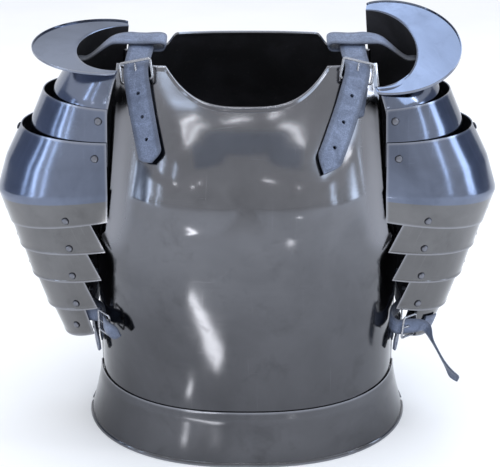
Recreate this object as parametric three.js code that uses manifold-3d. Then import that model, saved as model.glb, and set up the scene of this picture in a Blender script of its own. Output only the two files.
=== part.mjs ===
// A steel breastplate with its back plate, skirt and two pauldrons, strapped together and standing on
// its hem. Millimetres, +Z up, the front faces -Y, the floor is z = 0 and the middle of the body x = y = 0.
// "left" and "right" in names are as seen from the front.
import * as THREE from 'three';
import { mergeVertices } from 'three/addons/utils/BufferGeometryUtils.js';
import Module from 'manifold-3d';

const wasm = await Module();
wasm.setup();

// Sizes of the body
const plateThickness = 1.2;
const bodyHalfWidth = 183;
const frontDepth = 150;
const backDepth = 143.6;
const shoulderHeight = 453;
const collarHeight = 468;
const collarHalfWidth = 0.459 * bodyHalfWidth;
const necklineHeight = 418;
const neckHalfWidth = 0.492 * bodyHalfWidth;
const sideGap = 7;
const edgeBead = 1.5;
const beadWidth = 5;
const pectoralRise = 8;
const neckCurve = 3.2;
const collarDropShare = 0.25;

// Sizes of the skirt
const skirtHeight = 66;
const skirtOverlap = 18;
const skirtFlare = 13;
const skirtGap = 0.7;
const flareCurve = 1.4;

// Sizes of the pauldrons
const pauldronProjection = 115;
const pauldronReach = bodyHalfWidth + pauldronProjection;
const pauldronDepth = 0.64 * frontDepth;
const lameGap = 1.2;
const flangeWidth = 50;
const flangeLip = 4;
const flangeRise = 4;
const flangePitchLeft = 11;
const flangePitchRight = 26;
const rivetHeadRadius = 4.4;
const rivetHeadHeight = 2.2;
const rivetShankRadius = 1.7;
const rivetEndThickness = 1;
const pivotClearance = 0.6;
const pivotPlay = 1.6;

// Sizes of the leather and its buckles
const leatherThickness = 2.6;
const shoulderStrapWidth = 29;
const pauldronStrapWidth = 27;
const sideStrapWidth = 24;
const armStrapWidth = 19;
const strapReach = 0.661 * bodyHalfWidth;
const strapCrown = 22;
const strapTipInsetLeft = 21;
const strapTipInsetRight = 40;
const strapTipDropLeft = 89;
const strapTipDropRight = 97;
const chapeDrop = 49;
const buckleDrop = 9;
const loopFold = 10;
const loopLap = 4;
const strapTuck = 30;
const strapHoleRadius = 2.2;
const fitGap = 0.4;
const buckleBar = 3.2;
const buckleLength = 26;
const buckleTilt = 27;
const tongueRadius = 1.3;

// Heights are shares of shoulderHeight, widths of bodyHalfWidth, depths of frontDepth or backDepth.
const frontProfile = [
  { height: 0.00, width: 1.012, depth: 0.900 },
  { height: 0.14, width: 1.000, depth: 0.910 },
  { height: 0.33, width: 0.995, depth: 0.935 },
  { height: 0.54, width: 1.000, depth: 0.985 },
  { height: 0.66, width: 0.997, depth: 0.990 },
  { height: 0.77, width: 0.975, depth: 0.920 },
  { height: 0.88, width: 0.940, depth: 0.700 },
  { height: 1.00, width: 0.905, depth: 0.300 },
];
const backProfile = [
  { height: 0.00, width: 1.012, depth: 0.940 },
  { height: 0.14, width: 1.000, depth: 0.940 },
  { height: 0.33, width: 0.995, depth: 0.920 },
  { height: 0.54, width: 1.000, depth: 0.990 },
  { height: 0.70, width: 0.997, depth: 1.030 },
  { height: 0.82, width: 0.970, depth: 0.980 },
  { height: 0.93, width: 0.930, depth: 0.790 },
  { height: 1.04, width: 0.900, depth: 0.560 },
];
const armholeProfile = [
  { height: 0.00, reach: 1.030 },
  { height: 0.52, reach: 1.020 },
  { height: 0.555, reach: 0.960 },
  { height: 0.60, reach: 0.905 },
  { height: 0.68, reach: 0.862 },
  { height: 0.75, reach: 0.838 },
  { height: 0.82, reach: 0.826 },
  { height: 0.91, reach: 0.818 },
  { height: 1.00, reach: 0.800 },
];

// Hoops of the pauldrons: the outer point is a share of pauldronReach and the two open ends are shares of
// bodyHalfWidth, their heights are shares of shoulderHeight, and depth is a share of pauldronDepth.
const topPlateHoops = [
  { out: 0.785, outHeight: 0.868, end: 0.847, endHeight: 0.862, depth: 0.876 },
  { out: 0.745, outHeight: 0.940, end: 0.830, endHeight: 0.920, depth: 0.845 },
  { out: 0.655, outHeight: 1.030, end: 0.774, endHeight: 1.030, depth: 0.660 },
];
const secondPlateHoops = [
  { out: 0.789, outHeight: 0.932, end: 0.834, endHeight: 0.918, depth: 0.878 },
  { out: 0.840, outHeight: 0.860, end: 0.839, endHeight: 0.850, depth: 0.910 },
  { out: 0.872, outHeight: 0.776, end: 0.844, endHeight: 0.778, depth: 0.945 },
];
const thirdPlateHoops = [
  { out: 0.886, outHeight: 0.841, end: 0.844, endHeight: 0.838, depth: 0.945 },
  { out: 0.955, outHeight: 0.755, end: 0.847, endHeight: 0.770, depth: 0.975 },
  { out: 1.000, outHeight: 0.667, end: 0.850, endHeight: 0.705, depth: 1.000 },
  { out: 0.985, outHeight: 0.632, end: 0.855, endHeight: 0.678, depth: 0.985 },
  { out: 0.962, outHeight: 0.578, end: 0.863, endHeight: 0.632, depth: 0.950 },
];
// The lower edge of each lame; its upper edge follows the lame above. slant is how far its open ends lean
// back, in degrees.
const lameEdges = [
  { name: 'upper_lame', out: 0.930, outHeight: 0.510, end: 0.888, endHeight: 0.545, depth: 0.880, slant: 22 },
  { name: 'second_lame', out: 0.889, outHeight: 0.426, end: 0.928, endHeight: 0.459, depth: 0.795, slant: 22 },
  { name: 'third_lame', out: 0.836, outHeight: 0.338, end: 0.972, endHeight: 0.369, depth: 0.700, slant: 20 },
  { name: 'lowest_lame', out: 0.772, outHeight: 0.254, end: 1.013, endHeight: 0.283, depth: 0.600, slant: 13 },
];
const lameOverlapShare = 0.34;
// How far down each plate its pivot rivets sit, as a share of the plate.
const pivotRows = { secondPlate: 0.22, thirdPlate: 0.14, thirdPlateLower: 0.9, lame: 0.83 };

// The shoulder strap on the back plate, over the shoulder and on the chest: drop is a share of
// shoulderHeight, depth of backDepth, crown of strapCrown and lift of leatherThickness.
const strapOnBack = [
  { drop: 0.121, lift: 0.23 },
  { drop: 0.066, lift: 0.31 },
  { drop: 0.013, lift: 1.54 },
];
const strapOverShoulder = [
  { depth: 0.360, crown: 0.82 },
  { depth: 0.100, crown: 1.00 },
  { depth: -0.094, crown: 0.59 },
];
const strapOnChest = [{ lift: 0.92 }, { lift: 0.23 }, { lift: 0.23 }, { lift: 0.23 }];

// The side strap from back to front: along is a share of the body's depth, lift of leatherThickness and
// drop of shoulderHeight; layer counts the straps under it, with the buckle as a layer of its own.
const sideStrapHeight = 0.262;
const sideStrapPath = [
  { along: 0.40, layer: 'one', lift: 0.15, drop: 0 },
  { along: 0.26, layer: 'one', lift: 0.23, drop: 0 },
  { along: 0.12, layer: 'two', lift: 0.38, drop: 0 },
  { along: -0.02, layer: 'buckle', lift: 0.38, drop: 0 },
  { along: -0.14, layer: 'two', lift: 1.54, drop: 0.004 },
  { along: -0.24, layer: 'two', lift: 1.35, drop: 0.015 },
  { along: -0.34, layer: 'two', lift: 1.54, drop: 0.029 },
];

// The arm straps, from the ends of the lowest lame: out is a share of pauldronReach, back of pauldronDepth,
// drop of shoulderHeight and lift of the buckle's rise. turn 1 lies flat, 0 hangs edge on.
const armStrapInside = [
  { out: 0.060, back: 0.038 },
  { out: 0.020, back: 0.006 },
  { out: -0.005, back: 0.073 },
];
const armStrapAcross = { rear: 0.354, front: 0.292 };
const hangingEnd = [
  { out: -0.017, back: 0.109, drop: 0.007, lift: 0, turn: 1 },
  { out: -0.023, back: -0.031, drop: 0.015, lift: 0, turn: 1 },
  { out: 0.000, back: -0.010, drop: 0.022, lift: 1, turn: 1 },
  { out: 0.047, back: 0.016, drop: 0.022, lift: 1, turn: 1, buckle: true },
  { out: 0.111, back: 0.073, drop: 0.033, lift: 1, turn: 0.7 },
  { out: 0.151, back: 0.062, drop: 0.075, lift: 1, turn: 0 },
  { out: 0.201, back: 0.042, drop: 0.132, lift: 1, turn: 0 },
  { out: 0.262, back: 0.021, drop: 0.190, lift: 1, turn: 0.7 },
];
const shortEnd = [
  { out: -0.0175, back: 0.151, drop: 0, lift: 0, turn: 1 },
  { out: -0.0335, back: -0.031, drop: 0, lift: 0, turn: 1 },
  { out: -0.0370, back: -0.198, drop: 0, lift: 0, turn: 1, buckle: true },
  { out: -0.0640, back: -0.354, drop: 0.004, lift: 0, turn: 1 },
  { out: -0.1110, back: -0.458, drop: 0.011, lift: 0, turn: 1 },
];
const shortChape = [
  { out: 0.0470, back: 0.076, drop: 0, lift: 0, turn: 1 },
  { out: 0.0168, back: 0.051, drop: 0, lift: 0, turn: 1 },
  { out: -0.0154, back: 0.022, drop: 0, lift: 0, turn: 1 },
  { out: -0.0188, back: -0.031, drop: 0, lift: 0, turn: 1 },
  { out: -0.0188, back: -0.080, drop: 0, lift: 0, turn: 1 },
];

// Colours and finish
const steel = { color: 0x6a6f7c, roughness: 0.22, metalness: 1 };
const brightSteel = { color: 0xb4b8c0, roughness: 0.25, metalness: 1 };
const leather = { color: 0x4a5163, roughness: 0.6, metalness: 0 };

const model = new THREE.Group();

function addPiece(name, geometry, finish) {
  const mesh = new THREE.Mesh(geometry, new THREE.MeshStandardMaterial(finish));
  mesh.name = name;
  model.add(mesh);
  return mesh;
}

function lerp(a, b, t) {
  return a + (b - a) * t;
}

function smoothstep(t) {
  return t * t * (3 - 2 * t);
}

// A smooth curve through one column of a table, read at a height share.
function readTable(table, column, at) {
  let i = 0;
  while (i < table.length - 2 && at > table[i + 1].height) {
    i += 1;
  }
  const slope = (k) => {
    const a = table[Math.max(k - 1, 0)];
    const b = table[Math.min(k + 1, table.length - 1)];
    return (b[column] - a[column]) / (b.height - a.height);
  };
  const span = table[i + 1].height - table[i].height;
  const t = THREE.MathUtils.clamp((at - table[i].height) / span, 0, 1);
  const start = table[i][column];
  const end = table[i + 1][column];
  const h = smoothstep(t);
  return lerp(start, end, h)
    + slope(i) * span * t * (1 - t) * (1 - t)
    - slope(i + 1) * span * t * t * (1 - t);
}

function meshFrom(points, triangles) {
  const geometry = new THREE.BufferGeometry();
  const flat = new Float32Array(points.length * 3);
  points.forEach((p, i) => p.toArray(flat, i * 3));
  let volume = 0;
  for (const [a, b, c] of triangles) {
    volume += points[a].dot(new THREE.Vector3().crossVectors(points[b], points[c]));
  }
  const ordered = volume < 0 ? triangles.map(([a, b, c]) => [a, c, b]) : triangles;
  geometry.setAttribute('position', new THREE.BufferAttribute(flat, 3));
  geometry.setIndex(ordered.flat());
  return geometry;
}

function toSolid(geometry) {
  const bare = geometry.clone();
  bare.deleteAttribute('normal');
  bare.deleteAttribute('uv');
  const merged = mergeVertices(bare, 1e-4);
  return new wasm.Manifold(new wasm.Mesh({
    numProp: 3,
    vertProperties: Float32Array.from(merged.attributes.position.array),
    triVerts: Uint32Array.from(merged.index.array),
  }));
}

function fromSolid(solid) {
  const mesh = solid.getMesh();
  const geometry = new THREE.BufferGeometry();
  geometry.setAttribute('position', new THREE.BufferAttribute(Float32Array.from(mesh.vertProperties), 3));
  geometry.setIndex([...mesh.triVerts]);
  return geometry;
}

function cutAway(geometry, cutters) {
  let solid = toSolid(geometry);
  for (const cutter of cutters) {
    solid = solid.subtract(toSolid(cutter));
  }
  return fromSolid(solid);
}

function joinAll(geometry, others) {
  let solid = toSolid(geometry);
  for (const other of others) {
    solid = solid.add(toSolid(other));
  }
  return fromSolid(solid);
}

// The unit normal of a surface given as a function of two parameters.
function surfaceNormal(pointAt, u, v) {
  const step = 1e-3;
  const du = pointAt(Math.min(u + step, 1), v).sub(pointAt(Math.max(u - step, -1), v));
  const dv = pointAt(u, Math.min(v + step, 1)).sub(pointAt(u, Math.max(v - step, 0)));
  return du.cross(dv).normalize();
}

// A closed sheet: the surface points, offset outward and inward by the two distances that offsets returns.
function sheet(us, vs, pointAt, inside, offsets) {
  const middleU = us[Math.floor(us.length / 2)];
  const middleV = vs[Math.floor(vs.length / 2)];
  const middle = pointAt(middleU, middleV);
  const outward = Math.sign(surfaceNormal(pointAt, middleU, middleV).dot(middle.clone().sub(inside)));
  const points = [];
  for (const face of [0, 1]) {
    vs.forEach((v, row) => us.forEach((u, column) => {
      const normal = surfaceNormal(pointAt, u, v).multiplyScalar(outward);
      const distance = offsets(column, row, us.length - 1, vs.length - 1);
      points.push(pointAt(u, v).addScaledVector(normal, face === 0 ? distance[0] : -distance[1]));
    }));
  }
  const columns = us.length;
  const rows = vs.length;
  const at = (face, row, column) => face * rows * columns + row * columns + column;
  const triangles = [];
  const quad = (a, b, c, d) => triangles.push([a, b, c], [a, c, d]);
  for (let row = 0; row < rows - 1; row += 1) {
    for (let column = 0; column < columns - 1; column += 1) {
      quad(at(0, row, column), at(0, row, column + 1), at(0, row + 1, column + 1), at(0, row + 1, column));
      quad(at(1, row, column), at(1, row + 1, column), at(1, row + 1, column + 1), at(1, row, column + 1));
    }
    const last = columns - 1;
    quad(at(0, row, 0), at(0, row + 1, 0), at(1, row + 1, 0), at(1, row, 0));
    quad(at(0, row, last), at(1, row, last), at(1, row + 1, last), at(0, row + 1, last));
  }
  for (let column = 0; column < columns - 1; column += 1) {
    const last = rows - 1;
    quad(at(0, 0, column), at(1, 0, column), at(1, 0, column + 1), at(0, 0, column + 1));
    quad(at(0, last, column), at(0, last, column + 1), at(1, last, column + 1), at(1, last, column));
  }
  return { points, triangles };
}

// A strap or bar: a flat section swept along stations, each with a centre and a sideways direction.
function ribbon(stations, width, thickness) {
  const points = [];
  stations.forEach((station, i) => {
    const before = stations[Math.max(i - 1, 0)].centre;
    const after = stations[Math.min(i + 1, stations.length - 1)].centre;
    const tangent = after.clone().sub(before).normalize();
    const normal = new THREE.Vector3().crossVectors(station.side, tangent).normalize();
    const side = new THREE.Vector3().crossVectors(tangent, normal).normalize();
    const half = (station.width ?? width) / 2;
    for (const [across, up] of [[-1, -1], [1, -1], [1, 1], [-1, 1]]) {
      points.push(station.centre.clone()
        .addScaledVector(side, across * half)
        .addScaledVector(normal, up * thickness / 2));
    }
  });
  const triangles = [];
  for (let i = 0; i < stations.length - 1; i += 1) {
    for (let k = 0; k < 4; k += 1) {
      const a = i * 4 + k;
      const b = i * 4 + (k + 1) % 4;
      triangles.push([a, b, b + 4], [a, b + 4, a + 4]);
    }
  }
  const last = (stations.length - 1) * 4;
  triangles.push([0, 2, 1], [0, 3, 2], [last, last + 1, last + 2], [last, last + 2, last + 3]);
  return meshFrom(points, triangles);
}

// A solid of revolution stood on a point with its axis along a direction.
function turned(profile, sides, position, direction) {
  const geometry = new THREE.LatheGeometry(profile.map(([r, h]) => new THREE.Vector2(r, h)), sides);
  const turn = new THREE.Quaternion().setFromUnitVectors(new THREE.Vector3(0, 1, 0), direction);
  geometry.applyQuaternion(turn);
  geometry.translate(position.x, position.y, position.z);
  return geometry;
}

const rivetSides = 6;
const headSink = 0.2;
const drillReach = 9;

// A rivet whose head sits on the surface at position; grip is what lies between its head and its end.
function rivet(position, outward, grip) {
  const endRadius = rivetHeadRadius * 0.75;
  return turned([
    [0, -grip - rivetEndThickness],
    [endRadius, -grip - rivetEndThickness],
    [endRadius, -grip],
    [rivetShankRadius, -grip],
    [rivetShankRadius, -headSink],
    [rivetHeadRadius, -headSink],
    [rivetHeadRadius * 0.6, rivetHeadHeight],
    [0, rivetHeadHeight],
  ], rivetSides, position, outward);
}

function drillAt(position, direction, radius, reach) {
  const profile = [[0, -reach], [radius, -reach], [radius, reach], [0, reach]];
  return turned(profile, rivetSides, position, direction);
}

// Body plates

const sideRounding = 2.4;

function widthAt(profile, z) {
  return bodyHalfWidth * readTable(profile, 'width', z / shoulderHeight);
}

function armholeReach(profile, z) {
  const share = readTable(armholeProfile, 'reach', z / shoulderHeight);
  const torso = widthAt(profile, z);
  const trim = (sideGap / frontDepth) ** 2 / sideRounding;
  return Math.min(share * bodyHalfWidth, torso * (1 - trim));
}

function pectoral(x, z) {
  const acrossRadius = 0.345 * bodyHalfWidth;
  const centreX = 0.385 * bodyHalfWidth;
  const centreZ = 0.725 * shoulderHeight;
  const heightRadius = z < centreZ ? 0.085 * shoulderHeight : 0.16 * shoulderHeight;
  const far = ((Math.abs(x) - centreX) / acrossRadius) ** 2 + ((z - centreZ) / heightRadius) ** 2;
  const power = z < centreZ ? 1.1 : 1.6;
  return far < 1 ? pectoralRise * (1 - far) ** power : 0;
}

function frontY(x, z) {
  const share = Math.min(Math.abs(x) / widthAt(frontProfile, z), 1);
  const depth = frontDepth * readTable(frontProfile, 'depth', z / shoulderHeight);
  return -depth * Math.sqrt(1 - share ** sideRounding) - pectoral(x, z);
}

function backY(x, z) {
  const share = Math.min(Math.abs(x) / widthAt(backProfile, z), 1);
  const depth = backDepth * readTable(backProfile, 'depth', z / shoulderHeight);
  return depth * Math.sqrt(1 - share ** sideRounding);
}

const neckShare = 0.6;
const bodyBottom = skirtHeight - skirtOverlap;

// A point of a body plate: u runs across from -1 to 1, v up from 0 to 1.
function plateGrid(profile, yAt, topEdge) {
  return (u, v) => {
    const a = Math.abs(u);
    const top = topEdge(a);
    const z = lerp(bodyBottom, top.z, v);
    const topShare = top.x / armholeReach(profile, top.z);
    const share = lerp(Math.sin(a * Math.PI / 2), topShare, v);
    const x = Math.sign(u) * share * armholeReach(profile, z);
    return new THREE.Vector3(x, yAt(x, z), z);
  };
}

function neckline(a) {
  const tabReach = armholeReach(frontProfile, shoulderHeight);
  if (a <= neckShare) {
    const share = a / neckShare;
    const z = lerp(necklineHeight, shoulderHeight, share ** neckCurve);
    return { x: neckHalfWidth * share, z };
  }
  return { x: lerp(neckHalfWidth, tabReach, (a - neckShare) / (1 - neckShare)), z: shoulderHeight };
}

function collarLine(a) {
  const tabReach = armholeReach(backProfile, shoulderHeight);
  if (a <= neckShare) {
    return { x: collarHalfWidth * a / neckShare, z: collarHeight };
  }
  const share = (a - neckShare) / (1 - neckShare);
  const drop = THREE.MathUtils.clamp(share / collarDropShare, 0, 1);
  return { x: lerp(collarHalfWidth, tabReach, share), z: lerp(collarHeight, shoulderHeight, drop) };
}

// Even steps, with one more step a bead's width inside each end that asks for it.
function steps(from, to, count, beadStart, beadEnd) {
  const values = Array.from({ length: count + 1 }, (_, i) => lerp(from, to, i / count));
  if (beadStart > 0) {
    values.splice(1, 0, from + beadStart);
  }
  if (beadEnd > 0) {
    values.splice(values.length - 1, 0, to - beadEnd);
  }
  return values;
}

function beadOffsets(beadSides, beadTop, beadBottom) {
  const skin = plateThickness / 2;
  return (column, row, lastColumn, lastRow) => {
    const onSide = beadSides && (column === 0 || column === lastColumn);
    const onTop = beadTop && row === lastRow;
    const onBottom = beadBottom && row === 0;
    const extra = onSide || onTop || onBottom ? edgeBead : 0;
    return [skin + extra, skin + extra / 2];
  };
}

const bodyCentre = new THREE.Vector3(0, 0, shoulderHeight / 2);

function bodyPlate(profile, yAt, topEdge, columnCount, rowCount) {
  const pointAt = plateGrid(profile, yAt, topEdge);
  const sideBead = beadWidth / (bodyHalfWidth * Math.PI / 2);
  const topBead = beadWidth / (shoulderHeight - bodyBottom);
  const us = steps(-1, 1, columnCount, sideBead, sideBead);
  const vs = steps(0, 1, rowCount, 0, topBead);
  const grid = sheet(us, vs, pointAt, bodyCentre, beadOffsets(true, true, false));
  return meshFrom(grid.points, grid.triangles);
}

// The skirt lies outside the lower edge of its plate and flares out to the hem.
function skirtPlate(profile, yAt, columnCount) {
  const spacing = plateThickness + edgeBead + skirtGap;
  const sign = Math.sign(yAt(0, bodyBottom));
  const pointAt = (u, v) => {
    const z = skirtHeight * v;
    const a = Math.abs(u);
    const flare = skirtFlare * (1 - v) ** flareCurve + spacing;
    const width = armholeReach(profile, z) + flare;
    const x = Math.sign(u) * Math.sin(a * Math.PI / 2) * width;
    const bodyX = x * armholeReach(profile, z) / width;
    return new THREE.Vector3(x, yAt(bodyX, z) + sign * flare * Math.cos(a * Math.PI / 2), z);
  };
  const sideBead = beadWidth / (bodyHalfWidth * Math.PI / 2);
  const us = steps(-1, 1, columnCount, sideBead, sideBead);
  const vs = [0, beadWidth / skirtHeight, 0.35, 0.7, 1];
  const grid = sheet(us, vs, pointAt, bodyCentre, beadOffsets(false, false, true));
  for (const point of grid.points) {
    point.z = point.z < beadWidth / 2 ? 0 : point.z;
  }
  return meshFrom(grid.points, grid.triangles);
}

// Pauldrons

const hoopColumns = 12;

function hoopPoint(hoop, side, u) {
  const phi = u * Math.PI / 2;
  const x = lerp(hoop.end * bodyHalfWidth, hoop.out * pauldronReach, Math.cos(phi));
  const z = lerp(hoop.endHeight, hoop.outHeight, Math.cos(phi)) * shoulderHeight;
  return new THREE.Vector3(side * x, Math.sin(phi) * hoop.depth * pauldronDepth, z);
}

function mixHoops(a, b, t) {
  const mixed = {};
  for (const key of ['out', 'outHeight', 'end', 'endHeight', 'depth']) {
    mixed[key] = lerp(a[key], b[key], t);
  }
  return mixed;
}

function hoopAt(hoops, v) {
  const place = THREE.MathUtils.clamp(v, 0, 1) * (hoops.length - 1);
  const i = Math.min(Math.floor(place), hoops.length - 2);
  return mixHoops(hoops[i], hoops[i + 1], place - i);
}

function insetHoop(hoop, distance) {
  const inset = { ...hoop };
  inset.out -= distance / pauldronReach;
  inset.depth -= distance / pauldronDepth;
  return inset;
}

// Each lame starts inside the one above it, an overlap up from that one's lower edge.
function lameHoops() {
  const lames = [];
  let above = thirdPlateHoops.slice(-3);
  for (const edge of lameEdges) {
    const start = hoopAt(above, 1 - lameOverlapShare);
    const top = insetHoop(start, plateThickness + lameGap);
    lames.push([top, edge]);
    above = [top, edge];
  }
  return lames;
}

function shoulderCentre(side) {
  return new THREE.Vector3(side * 0.6 * pauldronReach, 0, 0.7 * shoulderHeight);
}

// The surface of a plate whose hoops are listed from top to bottom.
function plateSurface(hoops, side) {
  return (u, v) => hoopPoint(hoopAt(hoops, v), side, u);
}

function hoopPlate(hoops, side) {
  const us = steps(-1, 1, hoopColumns, 0, 0);
  const vs = steps(0, 1, hoops.length - 1, 0, 0);
  const skin = plateThickness / 2;
  const grid = sheet(us, vs, plateSurface(hoops, side), shoulderCentre(side), () => [skin, skin]);
  return meshFrom(grid.points, grid.triangles);
}

// The two open ends of a lame slant back from its lower corners.
function lamePlate(hoops, edge, side) {
  const reach = pauldronDepth;
  const slant = THREE.MathUtils.degToRad(edge.slant);
  const waste = new THREE.BoxGeometry(reach, 4 * reach, 2 * reach);
  waste.translate(-side * reach / 2, 0, 0);
  waste.rotateY(side * slant);
  waste.translate(side * (edge.end * bodyHalfWidth + fitGap), 0, edge.endHeight * shoulderHeight);
  return cutAway(hoopPlate(hoops, side), [waste]);
}

// The top plate: its wall rises to the neck opening, turns out into a crescent flange and ends in a lip.
function topPlateSurface(side, pitch) {
  const wallShare = 0.5;
  const flangeShare = 0.88;
  const endShare = 0.35;
  const endSpread = 0.12;
  const spread = 0.55;
  const slope = Math.tan(THREE.MathUtils.degToRad(pitch));
  return (u, v) => {
    const crescent = Math.cos(u * Math.PI / 2) ** 0.8;
    if (v <= wallShare) {
      const rise = v / wallShare;
      const point = hoopPoint(hoopAt(topPlateHoops, rise), side, u);
      point.z += point.y * slope * rise ** 4;
      return point;
    }
    const along = Math.min((v - wallShare) / (flangeShare - wallShare), 1);
    const lip = Math.max((v - flangeShare) / (1 - flangeShare), 0);
    const neck = hoopPoint(topPlateHoops.at(-1), side, u);
    const width = flangeWidth * lerp(endShare, 1, crescent) * along;
    neck.x += side * width * Math.max(crescent, endSpread);
    neck.y += Math.sin(u * Math.PI / 2) * width * spread;
    neck.z += flangeRise * along * crescent + flangeLip * lip;
    neck.z += neck.y * slope;
    return neck;
  };
}

const topPlateRows = [0, 0.25, 0.5, 0.56, 0.72, 0.88, 1];

function topPlate(side, pitch) {
  const pointAt = topPlateSurface(side, pitch);
  const us = steps(-1, 1, hoopColumns, 0, 0);
  const skin = plateThickness / 2;
  const grid = sheet(us, topPlateRows, pointAt, shoulderCentre(side), () => [skin, skin]);
  return meshFrom(grid.points, grid.triangles);
}

// Where the two pivot rivets of a joint sit: on the outer plate, one at the front and one at the back.
function pivotPlaces(surface, side, u, v) {
  const skin = plateThickness / 2;
  return [-u, u].map((across) => {
    const place = surface(across, v);
    const normal = surfaceNormal(surface, across, v);
    if (normal.dot(place.clone().sub(shoulderCentre(side))) < 0) {
      normal.negate();
    }
    return { position: place.addScaledVector(normal, skin), normal };
  });
}

const pivotGrip = 2 * plateThickness + lameGap + pivotPlay;
const topPivotU = 0.93;
const lamePivotU = 0.76;

function pauldron(side, tag, pitch) {
  const lames = lameHoops();
  const plates = [
    { name: 'top_plate', geometry: topPlate(side, pitch) },
    { name: 'second_plate', geometry: hoopPlate(secondPlateHoops, side) },
    { name: 'third_plate', geometry: hoopPlate(thirdPlateHoops, side) },
    ...lames.map((hoops, i) => ({ name: lameEdges[i].name, geometry: lamePlate(hoops, lameEdges[i], side) })),
  ];
  const second = plateSurface(secondPlateHoops, side);
  const third = plateSurface(thirdPlateHoops, side);
  const joints = [
    { outer: 1, inner: 0, places: pivotPlaces(second, side, topPivotU, pivotRows.secondPlate) },
    { outer: 2, inner: 1, places: pivotPlaces(third, side, topPivotU, pivotRows.thirdPlate) },
    { outer: 2, inner: 3, places: pivotPlaces(third, side, lamePivotU, pivotRows.thirdPlateLower) },
    ...[0, 1, 2].map((i) => ({
      outer: i + 3,
      inner: i + 4,
      places: pivotPlaces(plateSurface(lames[i], side), side, lamePivotU, pivotRows.lame),
    })),
  ];
  for (const joint of joints) {
    const outer = plates[joint.outer];
    const inner = plates[joint.inner];
    const holeRadius = rivetShankRadius + pivotClearance;
    outer.geometry = joinAll(outer.geometry, joint.places.map((p) => rivet(p.position, p.normal, pivotGrip)));
    const drills = joint.places.map((p) => drillAt(p.position, p.normal, holeRadius, drillReach));
    inner.geometry = cutAway(inner.geometry, drills);
  }
  plates.forEach((plate) => addPiece(`${plate.name}_${tag}`, plate.geometry, steel));
  return joints;
}

// Leather straps and buckles

// Stations between hand-placed ones, smooth in place, direction and width.
function smoothStations(controls, perSpan) {
  const centres = new THREE.CatmullRomCurve3(controls.map((c) => c.centre), false, 'centripetal');
  const sides = new THREE.CatmullRomCurve3(controls.map((c) => c.side), false, 'centripetal');
  const count = (controls.length - 1) * perSpan;
  return Array.from({ length: count + 1 }, (_, i) => {
    const t = i / count;
    return { centre: centres.getPoint(t), side: sides.getPoint(t).normalize() };
  });
}

function taperTip(stations, width, tipShares) {
  const first = stations.length - tipShares.length;
  tipShares.forEach((share, i) => {
    stations[first + i].width = width * share;
  });
  return stations;
}

// The place, forward direction and upward normal of a strap at one of its stations.
function strapFrame(stations, index) {
  const forward = stations[index + 1].centre.clone().sub(stations[index - 1].centre).normalize();
  const centre = stations[index].centre.clone();
  const normal = new THREE.Vector3().crossVectors(stations[index].side, forward).normalize();
  if (normal.dot(centre.clone().sub(bodyCentre)) < 0) {
    normal.negate();
  }
  const side = new THREE.Vector3().crossVectors(forward, normal).normalize();
  return { centre, forward, normal, side };
}

function strapHoles(stations, indices) {
  return indices.map((index) => {
    const frame = strapFrame(stations, index);
    return drillAt(frame.centre, frame.normal, strapHoleRadius, leatherThickness * 2);
  });
}

// A flat frame that the strap threads: its far bar lies over the strap, its near bar under it.
function buckle(frame, strapWidth) {
  const tilt = THREE.MathUtils.degToRad(buckleTilt);
  const along = frame.forward.clone()
    .multiplyScalar(Math.cos(tilt))
    .addScaledVector(frame.normal, -Math.sin(tilt));
  const up = new THREE.Vector3().crossVectors(frame.side, along).normalize();
  const basis = new THREE.Matrix4().makeBasis(frame.side, along, up).setPosition(frame.centre);
  const halfHole = strapWidth / 2 + 5 * fitGap;
  const halfWidth = halfHole + buckleBar;
  const halfLength = buckleLength / 2;
  const corner = buckleBar * 0.6;
  const outline = new THREE.Shape([
    [-halfWidth + corner, -halfLength], [halfWidth - corner, -halfLength], [halfWidth, -halfLength + corner],
    [halfWidth, halfLength - corner], [halfWidth - corner, halfLength], [-halfWidth + corner, halfLength],
    [-halfWidth, halfLength - corner], [-halfWidth, -halfLength + corner],
  ].map(([x, y]) => new THREE.Vector2(x, y)));
  const holeLength = halfLength - buckleBar;
  outline.holes.push(new THREE.Path([
    [-halfHole, -holeLength], [-halfHole, holeLength], [halfHole, holeLength], [halfHole, -holeLength],
  ].map(([x, y]) => new THREE.Vector2(x, y))));
  const depth = buckleBar * 0.8;
  const ring = new THREE.ExtrudeGeometry(outline, { depth, bevelEnabled: false, steps: 1 });
  ring.translate(0, 0, -depth / 2);
  ring.applyMatrix4(basis);
  const reach = holeLength - fitGap;
  const tongueAt = (radius, length) => turned(
    [[0, -length], [radius, -length], [radius, length], [0, length]],
    rivetSides,
    frame.centre,
    along,
  );
  const nearBar = frame.centre.clone().addScaledVector(along, halfLength);
  const tongue = fromSolid(toSolid(tongueAt(tongueRadius, reach)));
  return { ring, tongue, slot: tongueAt(tongueRadius + fitGap, reach * 2), nearBar };
}

const layerOne = plateThickness / 2 + fitGap + leatherThickness / 2;
const layerTwo = layerOne + leatherThickness + fitGap;
const buckleSlope = Math.sin(THREE.MathUtils.degToRad(buckleTilt));
const buckleRise = layerOne + 0.5 * buckleLength * buckleSlope + tongueRadius;

// A point above the skin of a body plate, with the normal of the skin below it.
function overSkin(yAt, x, z, rise) {
  const step = 0.5;
  const point = (px, pz) => new THREE.Vector3(px, yAt(px, pz), pz);
  const acrossStep = point(x + step, z).sub(point(x - step, z));
  const upStep = point(x, z + step).sub(point(x, z - step));
  const normal = acrossStep.cross(upStep).normalize();
  if (normal.y * yAt(0, z) < 0) {
    normal.negate();
  }
  const side = new THREE.Vector3(1, 0, 0).addScaledVector(normal, -normal.x).normalize();
  return { centre: point(x, z).addScaledVector(normal, rise), side };
}

const chestHoles = [3, 6, 9];

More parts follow.
